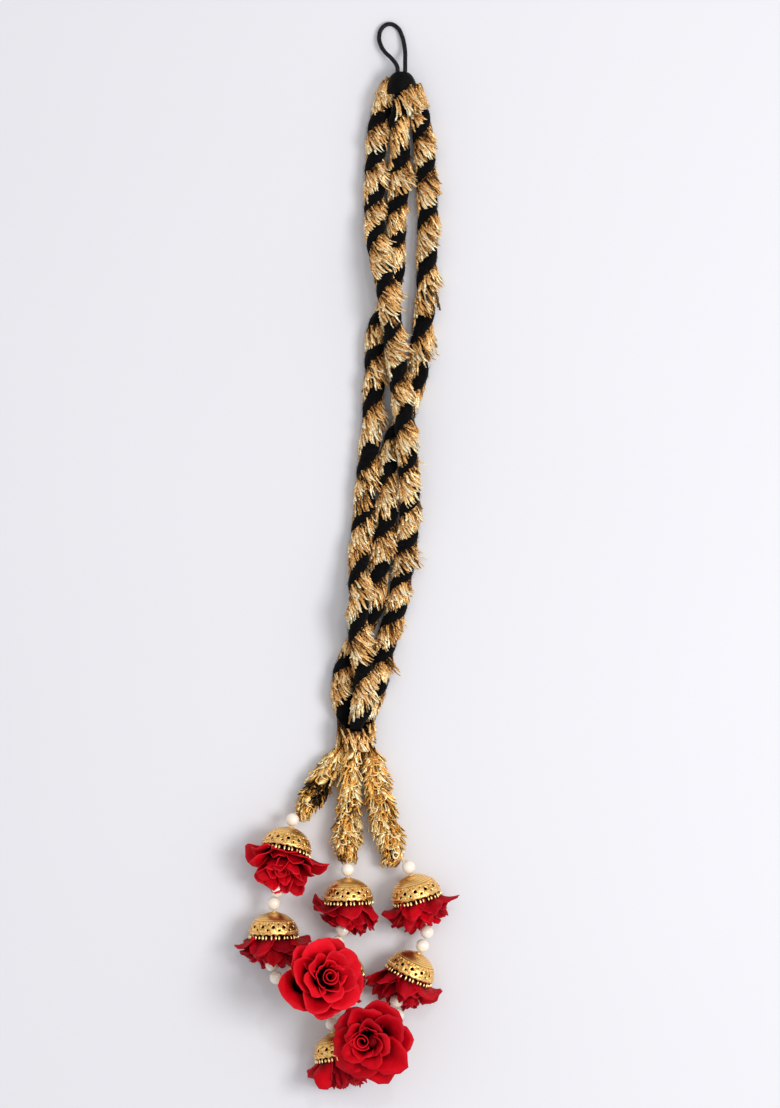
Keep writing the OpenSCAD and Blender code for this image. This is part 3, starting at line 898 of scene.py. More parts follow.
def cut_across(step, cuts):
    """Cuts the mesh in edit mode across -y, at every step but its end"""
    for k in range(1, cuts):
        bpy.ops.mesh.select_all(action="SELECT")
        bpy.ops.mesh.bisect(plane_co=(0, -step * k, 0), plane_no=(0, 1, 0))


def wire_hairpin(width, wire, rings, sides, stretch):
    """A ring of wire whose lower half is drawn along y; the object stays in edit mode"""
    only()
    bpy.ops.mesh.primitive_torus_add(major_segments=rings, minor_segments=sides,
                                     major_radius=(width - wire) / 2, minor_radius=wire / 2)
    made = bpy.context.object
    select_corners(made, lambda corner: corner.y < -0.01 * width)
    bpy.ops.transform.translate(value=(0, stretch, 0))
    return made


def twisted_strand(width, reach, cuts, twist):
    """A hairpin of wire along -y, twisted on itself into a two-ply strand with a round end"""
    made = wire_hairpin(width, WIRE_SHARE * width, 8, 3, -reach)
    cut_across(reach / cuts, cuts)
    object_mode()
    apply_modifier(made, "SIMPLE_DEFORM", deform_method="TWIST", deform_axis="Y", angle=twist)
    return take_template(made)


def wrung_strand(width, reach, cuts, twist):
    """A strip of foil along -y, wrung into a strand with a blunt end"""
    only()
    bpy.ops.mesh.primitive_cube_add(size=1, location=(0, -reach / 2, 0),
                                    scale=(width, reach, 0.6 * width))
    bpy.ops.object.transform_apply(location=True, rotation=True, scale=True)
    made = bpy.context.object
    bpy.ops.object.mode_set(mode="EDIT")
    cut_across(reach / cuts, cuts)
    object_mode()
    corners = corners_of(made)
    corners[corners[:, 1] < -0.99 * reach] *= (0.85, 1, 0.85)
    move_corners(made, corners)
    apply_modifier(made, "SIMPLE_DEFORM", deform_method="TWIST", deform_axis="Y", angle=twist)
    return take_template(made)


def open_loop(width, wire, reach):
    """An open loop of wire along -y that narrows to its root"""
    made = wire_hairpin(width, wire, 12, 4, width / 2 - reach)
    cut_across(reach / 5, 4)
    object_mode()
    corners = corners_of(made)
    corners[:, 0] *= np.clip(0.3 - 1.3 * corners[:, 1] / reach, 0, 1)
    move_corners(made, corners)
    return take_template(made)


def foil_leaf(width, reach):
    """A narrow leaf of flat foil along -y, bent a little along its middle"""
    only()
    bpy.ops.mesh.primitive_grid_add(x_subdivisions=2, y_subdivisions=6, size=1)
    made = bpy.context.object
    flat = corners_of(made)
    side, share = flat[:, 0], 0.5 - flat[:, 1]
    wide = width * (0.92 * np.sqrt(np.clip(4 * share * (1 - share), 0, 1)) + 0.08)
    bent = -0.5 * width * np.abs(side)
    move_corners(made, np.stack([side * wide, -reach * share, bent], -1))
    apply_modifier(made, "SOLIDIFY", thickness=FOIL)
    return take_template(made)


# Wool ropes

def nearest_winding(which, y, angle):
    """Distance along y from the middle of the bare wool at this place round a rope"""
    heights = to_y(WINDINGS[which])
    turn = (angle / (2 * math.pi) - 0.25) % 1
    count = len(heights)
    best = np.full(y.shape, 1.0)
    for k in range(-1, count):
        bare = np.interp(turn + k, np.arange(count) - 1, heights)
        best = np.minimum(best, np.abs(y - bare))
    return best


class PARANDA_OT_ropes(bpy.types.Operator):
    """Model the three wool ropes, which bulge where no fringe holds them"""
    bl_idname = "paranda.ropes"
    bl_label = "Wool Ropes"

    columns = 44
    row = 1.5 * MM
    # Half the height of the bare wool between two windings
    bare_half = 6.5 * MM
    ply_depth = 0.28 * MM
    # How fast the yarns' pattern runs round a rope along it, in radians of its wave a metre
    ply_twist = 110
    taper = 10 * MM
    end_r = 4.0 * MM
    # How far the ropes run into the head and the join
    tuck = 1.4 * MM
    # Hairs laid round each rope, of which those on the bare wool stay
    hairs_laid = 3600
    hair_width = 0.3 * MM
    hair_reach = 3 * MM
    hair_slant = 2.2 * MM

    def execute(self, context):
        settings = context.scene.paranda_ropes
        finish = wool_finish(settings)
        for which in SIDES:
            node = "strand_" + which
            line = CentreLine(node)
            low, high = (corner.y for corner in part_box(node))
            wool = self.wool(settings, which, line, low, high)
            hairs = self.hairs(settings, which, line, low, high)
            hand_over(join("wool", [hairs, wool]), "wool_" + which, finish, [node])
        return {"FINISHED"}

    def wool(self, settings, which, line, low, high):
        """A rope's surface, which runs on into the head and the join"""
        def tube(u, v):
            y = low - self.tuck + (high - low + 2 * self.tuck) * v
            angle = -2 * math.pi * u
            radius = self.radius(settings, which, y, angle, low, high)
            return above_floor(line.ring(y, angle, radius))

        return rolled_sheet("rope", self.columns, round((high - low) / self.row), tube)

    def hairs(self, settings, which, line, low, high):
        """Short loose hairs on the bare wool"""
        random = np.random.default_rng(len(which))
        y = random.uniform(low + self.taper, high - self.taper, self.hairs_laid)
        angle = random.uniform(0, 6.283, self.hairs_laid)
        bare = nearest_winding(which, y, angle) < self.bare_half
        y, angle = y[bare], angle[bare]
        tip = y + random.normal(0, self.hair_slant, len(y))
        tip_angle = angle + random.normal(0, 0.3, len(y))
        flare = random.uniform(0.5, 2.0, len(y)) * MM
        radius = settings.radius + 0.6 * settings.swell
        laid = strand_rows(y, tip, angle, tip_angle, radius, flare)
        template = hair(self.hair_width, self.hair_reach)
        parts, _ = lay_on(line, template, self.hair_reach, laid, random)
        return mesh_of_parts("hairs", parts)

    def radius(self, settings, which, y, angle, low, high):
        """Radius of the rope's surface: its swelling between the windings and its yarns"""
        grown = np.clip(np.minimum(y - low, high - y) / self.taper, 0, 1)
        radius = self.end_r + (settings.radius - self.end_r) * grown
        bare = np.clip(1 - nearest_winding(which, y, angle) / self.bare_half, 0, 1)
        swell = settings.swell * np.sin(bare * math.pi / 2) * grown
        yarn = np.abs(np.sin(settings.plies / 2 * angle + self.ply_twist * y))
        return radius + swell - self.ply_depth * (1 - yarn)


# Gold fringe

def covered_share(which, y):
    """1 where another rope lies on this one, else 0"""
    inside = np.zeros(y.shape)
    for high, low in COVERED[which]:
        inside[(y < to_y(high)) & (y > to_y(low))] = 1
    return inside


class PARANDA_OT_wound_fringe(bpy.types.Operator):
    """Wind gold loop fringe round each rope, as bands of twisted strands with free ends"""
    bl_idname = "paranda.wound_fringe"
    bl_label = "Wound Fringe"

    # Lengths that don't name MM are in millimetres, as the heights of the windings are
    seed = 11
    fan_seed = 3
    # How far the heading lies below the middle of the bare wool above it
    heading_drop = 4.2
    # How far round a lock's tips lag behind its roots
    lean = math.radians(24)
    # How far round the roots of the longest strands are drawn, in turns
    root_lean = 0.1
    base_r = 4.8 * MM
    reach = 14 * MM
    cuts = 7
    twist = math.radians(460)
    # Pitch of the winding at which the locks have their full length
    pitch_of_lock = 27
    locks_a_turn = 6.4
    # How far the tips of a lock draw together, as a share of its width
    gather = 0.12
    layers = (
        FringeLayer(1.0, 0.0, 1.5, 0.1, 0.6, 0),
        FringeLayer(0.8, 0.35, 2.0, 0.12, 0.6, 0.05),
        FringeLayer(0.55, 0.6, 2.1, 0.1, 0.65, 0.2),
        FringeLayer(0.3, 0.8, 2.0, 0.12, 0.65, 0.5),
    )
    # How far down the loosest strands are scattered
    scatter = 9
    # Thickness of the ground under the strands and of the cord along its upper edge
    ground_wall = 0.3 * MM
    heading_cord = 0.7 * MM
    # Columns of the ground, and points of the cord, in a turn
    steps_a_turn = 24
    # How far up beside the head the left rope's strands begin
    beside_head = 11
    fan_strands = 56
    # How far the right rope's fan stands off over the head's edge
    fan_rise = 13.4

    def execute(self, context):
        settings = context.scene.paranda_fringe
        finish = fringe_finish(settings, "gilt_thread", settings.gold, settings.bright,
                               settings.cream)
        template = wrung_strand(settings.strand, self.reach, self.cuts, self.twist)
        for index, which in enumerate(SIDES):
            random = np.random.default_rng(self.seed + index)
            line = CentreLine("strand_" + which)
            if which != "middle":
                line.straighten(to_y(HEAD_Y - 3), 16 * MM)
            laid = [self.rows(settings, which, layer, random) for layer in self.layers]
            if which != "middle":
                laid.append(self.fan(which, np.random.default_rng(self.fan_seed)))
            parts, tints = lay_on(line, template, self.reach, np.concatenate(laid), random)
            # The ground and the heading cord take the dark tint of painted shade under the strands
            for part in (self.ground(settings, line, which), self.heading(line, which)):
                parts.append(part)
                tints.append(np.full(len(part[0]), UNDER_STRAND_SHADE))
            made = mesh_of_parts("fringe", parts, tints)
            hand_over(made, "gold_fringe_" + which, finish, ["fringe_" + which])
        return {"FINISHED"}

    def edge(self, which, turns):
        """Height of the band's upper edge, and the pitch of the winding, at these turns"""
        heights = np.array(WINDINGS[which], float)
        steps = np.arange(len(heights)) - 1
        start = np.interp(turns, steps, heights)
        return start - self.heading_drop, start - np.interp(turns + 1, steps, heights)

    def locks(self, turns, random):
        """Where each strand lies across its lock, and four ways in which the locks differ"""
        spot = turns * self.locks_a_turn + 0.4 * np.sin(4.3 * turns)
        lock = np.floor(spot).astype(int)
        habits = random.normal(0, 1, (lock.max() - lock.min() + 1, 4))
        return spot - lock - 0.5, *habits[lock - lock.min()].T

    def rows(self, settings, which, layer, random):
        """The strands of one layer, as rows for lay_on"""
        turns = np.arange(*FRINGE_TURNS[which], 1 / settings.per_turn)
        count = len(turns)
        turns = turns + random.normal(0, 0.15 / settings.per_turn, count)
        off, longer, aside, proud, lighter = self.locks(turns, random)
        root = turns + self.root_lean * layer.share
        top, _ = self.edge(which, root)
        start, pitch = self.edge(which, turns)
        long = settings.long_lock / MM * layer.share * (1 + 0.1 * longer)
        long = long * random.uniform(0.94, 1.02, count)
        lower = self.scatter * layer.loose * random.random(count)
        top = top + random.uniform(-0.8, 1.4, count) - lower
        end = JOIN_Y + random.uniform(0.6, 5, count)
        tip = np.maximum(start - long * pitch / self.pitch_of_lock - lower, end)
        top = np.minimum(top, HEAD_Y + (self.beside_head if which == "left" else -0.6))
        gathered = turns - self.gather * off / self.locks_a_turn
        tip_angle = round_rope(gathered) - self.lean + 0.26 * aside
        tip_angle = tip_angle + random.normal(0, 0.045 + 0.3 * layer.loose, count)
        free = 1 - 0.8 * covered_share(which, to_y(tip))
        flare = layer.stand * MM * free * self.stand_off(tip_angle)
        flare = flare * np.clip(1 + 0.5 * proud, 0.2, 2.2) * random.uniform(0.5, 1.2, count)
        thin = 0.6 * np.clip(1 - (HEAD_Y - top) / 10, 0, 1)
        radius = self.base_r + (layer.lift * (0.4 + 0.6 * free) - thin) * MM
        tint = layer.tint + 0.08 * lighter + random.uniform(-0.36, 0.32, count)
        glow = layer.glow * random.uniform(0.6, 1.4, count)
        return strand_rows(to_y(top), to_y(np.minimum(tip, top - 2)), round_rope(root), tip_angle,
                           radius, flare, tint, glow)

    def stand_off(self, angle):
        """How far tips stand off at an angle: most on the right, some on top, least below"""
        right = np.clip(np.cos(angle) + 0.3, 0, 1.3)
        return 0.3 + right + 0.8 * np.clip(np.sin(angle), 0, 1)

    def fan(self, which, random):
        """Long loops that hang from beside the head over an outer rope, as rows for lay_on"""
        count = self.fan_strands
        if which == "right":
            angle = np.radians(random.uniform(0, 133, count))
            top = HEAD_Y - random.uniform(0, 2, count) + 6 * smooth_step(-angle, -2.25, -1.65)
            tip = top - random.uniform(10, 15, count)
            over = smooth_step(angle, math.radians(70), math.radians(122))
        else:
            angle = np.radians(random.uniform(60, 220, count))
            top = HEAD_Y + random.uniform(1, 6, count) + 4 * np.cos(angle - 1.9)
            tip = top - random.uniform(6, 11, count)
            over = 0
        tip_angle = angle + random.normal(0, 0.16, count) - 0.15
        radius = (random.uniform(4.6, 5.8, count) + self.fan_rise * over) * MM
        flare = random.uniform(0.4, 2.2, count) * MM
        tint = random.uniform(0, 0.5, count)
        glow = random.uniform(0.3, 0.7, count)
        return strand_rows(to_y(top), to_y(tip), angle, tip_angle, radius, flare, tint, glow)

    def ground(self, settings, line, which):
        """The band's ground under its strands"""
        first, last = FRINGE_TURNS[which]

        def wound(u, v):
            turns = first + (last - first) * u
            start, pitch = self.edge(which, turns)
            low = start - 0.75 * settings.long_lock / MM * pitch / self.pitch_of_lock
            y = np.clip(start + (low - start) * v, JOIN_Y + 0.6, HEAD_Y - 0.8)
            angle = round_rope(turns) - self.lean * v
            return line.ring(to_y(y), angle, np.full(len(y), self.base_r - self.ground_wall))

        sheet = grid_sheet("ground", round(self.steps_a_turn * (last - first)), 3, wound)
        apply_modifier(sheet, "SOLIDIFY", thickness=self.ground_wall)
        return take_template(sheet)

    def heading(self, line, which):
        """The fringe's sewn heading, a thin cord along its upper edge"""
        turns = np.arange(*FRINGE_TURNS[which], 1 / self.steps_a_turn)
        y = to_y(np.minimum(self.edge(which, turns)[0] + 0.3, HEAD_Y - 0.6))
        points = line.ring(y, round_rope(turns), np.full(len(y), self.base_r))
        points[:, 2] = np.maximum(points[:, 2], 0.6 * MM)
        cord = cord_curve("heading", points.tolist(), self.heading_cord, sides=1)
        return take_template(as_mesh(cord))


class PARANDA_OT_join(bpy.types.Operator):
    """Bind the ropes' ends with rows of gold loops"""
    bl_idname = "paranda.join_fringe"
    bl_label = "Join"

    seed = 5
    rows = 4
    row_step = 2.3 * MM
    first_row = 1.2 * MM
    lock = 11 * MM
    reach = 9 * MM
    cuts = 6
    twist = math.radians(380)
    loops = 24
    # How far the core and the loops' roots lie inside the solid
    core_inset = 1.5 * MM
    root_inset = 0.9 * MM
    core_thread = 0.25 * MM
    # How far, at most, the loops hang below the solid
    hang = 5 * MM

    def execute(self, context):
        settings = context.scene.paranda_fringe
        finish = fringe_finish(settings, "join_thread", settings.gold, settings.bright,
                               settings.cream)
        low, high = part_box("join_wrap")
        radius = (high.x - low.x) / 2
        line = CentreLine("join_wrap")
        template = wrung_strand(1.1 * settings.strand, self.reach, self.cuts, self.twist)
        core = self.core(line, low.y, high.y, radius - self.core_inset)
        height = (core[0][:, 1] - low.y) / (high.y - low.y)
        parts, tints = [core], [0.2 - 0.9 * smooth_step(height, 0.4, 0.6)]
        random = np.random.default_rng(self.seed)
        for row in range(self.rows):
            laid = self.row(row, low.y, high.y, radius - self.root_inset, random)
            more, tones = lay_on(line, template, self.reach, laid, random)
            parts += more
            tints += tones
        made = mesh_of_parts("join", parts, tints)
        hand_over(made, "join_fringe", finish, ["join_wrap"])
        return {"FINISHED"}

    def core(self, line, low, high, radius):
        """The wound binding under the loops, narrowed where the ropes come out"""
        def wound(u, v):
            y = low + (high - low) * v
            thread = self.core_thread * np.abs(np.sin(9 * math.pi * v + math.pi * u))
            narrow = 1 - 0.5 * smooth_step(v, 0.72, 0.95)
            return line.ring(y, -2 * math.pi * u, (radius + thread) * narrow)

        return take_template(rolled_sheet("core", 48, 36, wound))

    def row(self, row, low, high, radius, random):
        """A row of loops round the join, lower in front and behind than at the sides"""
        count = self.loops
        angle = 2 * math.pi * (np.arange(count) + 0.5 * (row % 2)) / count
        angle = angle + random.normal(0, 0.05, count)
        slant = (6.0 - 7.6 * np.sin(angle) ** 2) * MM
        top = high - self.first_row - row * self.row_step + slant
        top = top + random.uniform(-1, 1.2, count) * MM
        tip = np.maximum(top - self.lock * random.uniform(0.5, 1.05, count), low - self.hang)
        tip_angle = angle + random.normal(-0.12, 0.3, count)
        flare = random.uniform(0.2, 2.4, count) * MM
        tint = 0.15 + random.uniform(-0.35, 0.3, count)
        glow = random.uniform(0.2, 0.7, count)
        return strand_rows(top, tip, angle, tip_angle, radius + 0.3 * slant, flare, tint, glow)


class PARANDA_OT_tails(bpy.types.Operator):
    """Build the three gold tails: a core with rows of strands, open loops and leaves of foil"""
    bl_idname = "paranda.tails"
    bl_label = "Tails"

    seed = 31
    row_step = 3.1 * MM
    spacing = 2.5 * MM
    lock = 11 * MM
    core_share = 0.58
    loop_width = 4.2 * MM
    loop_wire = 0.85 * MM
    leaf_width = 3.4 * MM
    # Shares of strands, of open loops and of leaves of foil, and how much brighter each is, as
    # painted highlight, most on the foil
    kinds = ((0, 0.46, 0), (0.46, 0.74, 0.05), (0.74, 1, 0.35))
    # The left tail is darker about a spot: dark threads and black cord, partly painted shade in the
    # gaps
    dark = 0.8
    dark_spot = (-13.5, -119.5)
    dark_reach = 9 * MM

    def execute(self, context):
        settings = context.scene.paranda_fringe
        finish = fringe_finish(settings, "tail_thread", settings.tail_gold, settings.tail_bright,
                               settings.tail_cream)
        templates = (
            twisted_strand(1.4 * settings.strand, self.lock, 4, math.radians(420)),
            open_loop(self.loop_width, self.loop_wire, self.lock),
            foil_leaf(self.leaf_width, self.lock),
        )
        for index, which in enumerate(SIDES):
            random = np.random.default_rng(self.seed + index)
            node = "tail_" + which
            low, high = (corner.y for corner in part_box(node))
            line = CentreLine(node)
            widest = np.array([line.r[max(0, k - 4):k + 5].max() for k in range(len(line.r))])
            core = self.core(line, widest, low, high)
            laid = self.rows(line, widest, low, high, random)
            if which == "left":
                self.darken(line, laid)
            parts, tints = self.lay_kinds(line, templates, laid, random)
            # The core takes the dark tint of painted shade under the strands
            tints.insert(0, np.full(len(core[0]), UNDER_STRAND_SHADE))
            made = mesh_of_parts("tail", [core, *parts], tints)
            hand_over(made, "gold_tail_" + which, finish, [node])
        return {"FINISHED"}

    def core(self, line, widest, low, high):
        """The core of a tail, rounded off at its lower end"""
        def wound(u, v):
            y = low + (high - low) * (0.02 + 0.98 * v)
            radius = self.core_share * np.interp(y, line.y, widest)
            return line.ring(y, -2 * math.pi * u, radius * (1 - 0.5 * np.clip(1 - 12 * v, 0, 1)))

        return take_template(rolled_sheet("core", 24, 40, wound))

    def darken(self, line, laid):
        """Darkens the strands whose roots lie about the dark spot, as cord and painted shade between
        them
        """
        roots = line.ring(laid[:, 0], laid[:, 2], laid[:, 4])
        away = np.linalg.norm(roots[:, :2] - place((*self.dark_spot, 0)).xy, axis=1)
        laid[:, TINT] -= self.dark * smooth_step(away, self.dark_reach, 0.5 * self.dark_reach)

    def lay_kinds(self, line, templates, laid, random):
        """Lays each row as a strand, an open loop or a leaf of foil, by chance"""
        kind = random.random(len(laid))
        parts, tints = [], []
        for template, (first, last, shine) in zip(templates, self.kinds):
            chosen = laid[(kind >= first) & (kind < last)]
            # Painted highlight: loops and, most of all, leaves of foil take a brighter tint
            chosen[:, TINT] += shine
            more, tones = lay_on(line, template, self.lock, chosen, random)
            parts += more
            tints += tones
        return parts, tints

    def rows(self, line, widest, low, high, random):
        """The strands of a tail in rows from its top, as rows for lay_on"""
        laid = []
        for row, top in enumerate(np.arange(high - 0.5 * MM, low + 2.5 * MM, -self.row_step)):
            wide = np.interp(top - 0.5 * self.lock, line.y, widest)
            count = max(9, round(2 * math.pi * wide / self.spacing))
            angle = 2 * math.pi * (np.arange(count) + 0.5 * (row % 2)) / count
            angle = angle + random.normal(0, 0.08, count)
            tip = top - self.lock * random.uniform(0.75, 1.12, count)
            tip = np.maximum(tip, low - 2.5 * MM * random.random(count))
            root_r = (self.core_share + 0.06) * np.interp(top, line.y, widest)
            tip_r = np.interp(tip, line.y, widest) * random.uniform(0.85, 1.28, count)
            tip_r = tip_r * (0.38 + 0.62 * smooth_step(tip, low - 2 * MM, low + 11 * MM))
            tip_angle = angle + random.normal(0, 0.32, count)
            tint = 0.24 + random.uniform(-0.36, 0.34, count)
            glow = random.uniform(0.2, 0.8, count)
            laid.append(strand_rows(top, tip, angle, tip_angle, root_r, tip_r - root_r, tint, glow))
        return np.concatenate(laid)


# Caps

def unit_matrix(name):
    """From a cap's own frame, whose z runs from its apex to its rose, to the shared frame"""
    apex, direction = place(UNITS[name].apex), Vector(UNITS[name].direction).normalized()
    polar, azimuth = math.acos(direction.z), math.atan2(direction.y, direction.x)
    turned = Matrix.Rotation(azimuth, 4, "Z") @ Matrix.Rotation(polar, 4, "Y")
    return Matrix.Translation(apex) @ turned


class PARANDA_OT_caps(bpy.types.Operator):
    """Press, pierce and bead one filigree cap, and set a copy of it on every rose"""
    bl_idname = "paranda.caps"
    bl_label = "Filigree Caps"

    # The wall is pressed from a grid of cells, whose rows run from the apex to the mouth
    cells_a_hole = 8
    rows = 28
    # For each ring of holes: its row in the grid, a hole's radius in millimetres, and by how many
    # cells the ring is turned
    hole_rings = ((19, 0.55, 4), (22, 1.2, 0), (25, 0.8, 4))
    # For each ring of fine beads: its share of the way to the mouth, its beads and their radius
    bead_rings = ((0.62, 56, 0.36 * MM), (0.93, 66, 0.42 * MM))
    scallops = 22
    drops = 35
    drop_radius = 0.66 * MM
    drop_stretch = 2.1
    # How far, in degrees, a drop leans outwards
    drop_lean = 12
    collar_radius = 1.7 * MM
    collar_wire = 0.9 * MM
    ridge = 0.28 * MM
    # Angles from the axis, in degrees, between which the wall lies
    first_angle = 5
    last_angle = 86

    def execute(self, context):
        settings = context.scene.paranda_caps
        finish = brass_finish(settings)
        cap = join("cap", [*self.beads(settings), self.dome(settings)])
        for name in UNITS:
            made = own_copy(cap)
            made.data.transform(unit_matrix(name))
            rest_on_floor(made)
            hand_over(made, "filigree_cap_" + name, finish, ["cap_" + name])
        bpy.data.objects.remove(cap)
        return {"FINISHED"}

    def dome(self, settings):
        """The pierced, ridged and scalloped wall"""
        columns = self.cells_a_hole * settings.holes
        sheet = flat_grid("dome", columns, self.rows)
        middles = self.round_holes(settings, sheet, columns)
        self.open_holes(sheet, middles, 0.3 / max(columns, self.rows))
        flat = corners_of(sheet)
        move_corners(sheet, self.pressed(settings, flat[:, 0], flat[:, 1]))
        # Painted shade: a low tint in the grooves between the ridges, and a mask for the lace band's
        # painted holes
        paint(sheet, "tint", self.relief(flat[:, 1]))
        paint(sheet, "lace", smooth_step(flat[:, 1], 0.56, 0.62))
        clean_shell(sheet, fill_ends=False)
        apply_modifier(sheet, "SOLIDIFY", thickness=settings.wall, offset=-1)
        sheet.data.shade_smooth()
        return sheet

    def round_holes(self, settings, sheet, columns):
        """Moves the corners about the middle of each hole onto a circle; gives the middles"""
        cell = np.array((1 / columns, 1 / self.rows))
        # The lengths round the wall and along it for which the flat grid stands
        spread = np.array((2 * math.pi * settings.radius * 0.97, 1.5 * settings.height))
        flat = corners_of(sheet)
        middles = []
        for row, radius, turned in self.hole_rings:
            for k in range(settings.holes):
                column = (self.cells_a_hole * (k + 0.5) + turned) % columns
                middle = cell * (column, row)
                gap = (flat[:, :2] - middle) / cell
                wraps = np.round(gap[:, 0] / columns)
                gap[:, 0] -= columns * wraps
                away = np.abs(gap).max(1)
                ring = (away > 0.5) & (away < 1.5)
                bearing = np.arctan2(gap[ring, 1], gap[ring, 0])
                circle = np.stack([np.cos(bearing), np.sin(bearing)], -1)
                flat[ring, :2] = middle + radius * MM * circle / spread
                flat[ring, 0] += wraps[ring]
                middles.append(middle)
        move_corners(sheet, flat)
        return np.array(middles)

    def open_holes(self, sheet, middles, small):
        """Deletes the corner in the middle of each hole, and the cells round it with it"""
        def is_middle(corner):
            gap = np.abs(middles - (corner.x, corner.y))
            gap[:, 0] = np.minimum(gap[:, 0], 1 - gap[:, 0])
            return gap.max(1).min() < small

        select_corners(sheet, is_middle)
        bpy.ops.mesh.delete(type="VERT")
        object_mode()

    def relief(self, v):
        """1 on a ridge and 0 in a groove"""
        fine = 0.5 - 0.5 * np.cos(math.pi * self.rows * v)
        return np.where(v < 0.6, fine, np.where(v > 0.97, 1.0, 0.75))

    def wall_angle(self, v):
        """Angle from the axis at a share of the way to the mouth"""
        return np.radians(self.first_angle + (self.last_angle - self.first_angle) * v)

    def pressed(self, settings, u, v):
        """The dome: a quarter ellipse with fine ridges, and scallops along its mouth"""
        angle, t = 2 * math.pi * u, self.wall_angle(v)
        out = self.ridge * (self.relief(v) - 1)
        radius = (settings.radius + out) * np.sin(t)
        height = settings.height * (1 - np.cos(t)) - out * np.cos(t)
        scallop = np.abs(np.sin(self.scallops * angle / 2))
        height = height + np.clip((v - 0.93) / 0.07, 0, 1) * (0.2 + 0.9 * scallop) * MM
        return np.stack([radius * np.cos(angle), radius * np.sin(angle), height], -1)

    def beads(self, settings):
        """Long drops between the scallops, two rings of fine beads and a collar at the apex"""
        made = [self.ring_of_beads(self.drops, settings.radius - 0.4 * MM,
                                   settings.height + 1.6 * MM, self.drop_radius,
                                   self.drop_stretch, self.drop_lean, 2)]
        for share, count, size in self.bead_rings:
            t = self.wall_angle(share)
            made.append(self.ring_of_beads(count, settings.radius * math.sin(t) + 0.1 * MM,
                                           settings.height * (1 - math.cos(t)), size, 1.0, 0, 1))
        only()
        bpy.ops.mesh.primitive_torus_add(
            major_segments=24, minor_segments=6, major_radius=self.collar_radius,
            minor_radius=self.collar_wire / 2, location=(0, 0, self.collar_wire / 6))
        collar = bpy.context.object
        bpy.ops.object.transform_apply(location=True, rotation=True, scale=True)
        paint(collar, "tint", 0.8)
        collar.data.shade_smooth()
        return [*made, collar]

    def ring_of_beads(self, count, radius, height, size, stretch, lean, divisions):
        """Beads round the cap, stretched along their own axis and leant outwards by degrees"""
        only()
        bpy.ops.mesh.primitive_ico_sphere_add(subdivisions=divisions, radius=size)
        corners, faces = take_template(bpy.context.object)
        corners[:, 2] *= stretch
        random = np.random.default_rng(count)
        parts = []
        for k in range(count):
            tilt = Matrix.Rotation(math.radians(lean * random.uniform(0.5, 1.6)), 3, "Y")
            leant = corners * random.uniform(0.75, 1.2, 3) @ np.array(tilt).T + (radius, 0, height)
            turn = Matrix.Rotation(2 * math.pi * (k + random.uniform(-0.2, 0.2)) / count, 3, "Z")
            parts.append((leant @ np.array(turn).T, faces))
        made = mesh_of_parts("beads", parts)
        paint(made, "tint", 0.95)
        return made


# Roses

def reach_at(reach, angle):
    """The reach of a rose's petals at an angle from the right over the top"""
    side = np.where(np.cos(angle) > 0, reach[0], reach[1])
    rise = np.where(np.sin(angle) > 0, reach[2], reach[3])
    return 1 / np.sqrt((np.cos(angle) / side) ** 2 + (np.sin(angle) / rise) ** 2)


def bow(start, bend, end, way):
    """A curve from start to end that is drawn towards a bend, and its slope"""
    curve = (1 - way) ** 2 * start + 2 * way * (1 - way) * bend + way**2 * end
    slope = 2 * (1 - way) * (bend - start) + 2 * way * (end - bend)
    return curve, slope


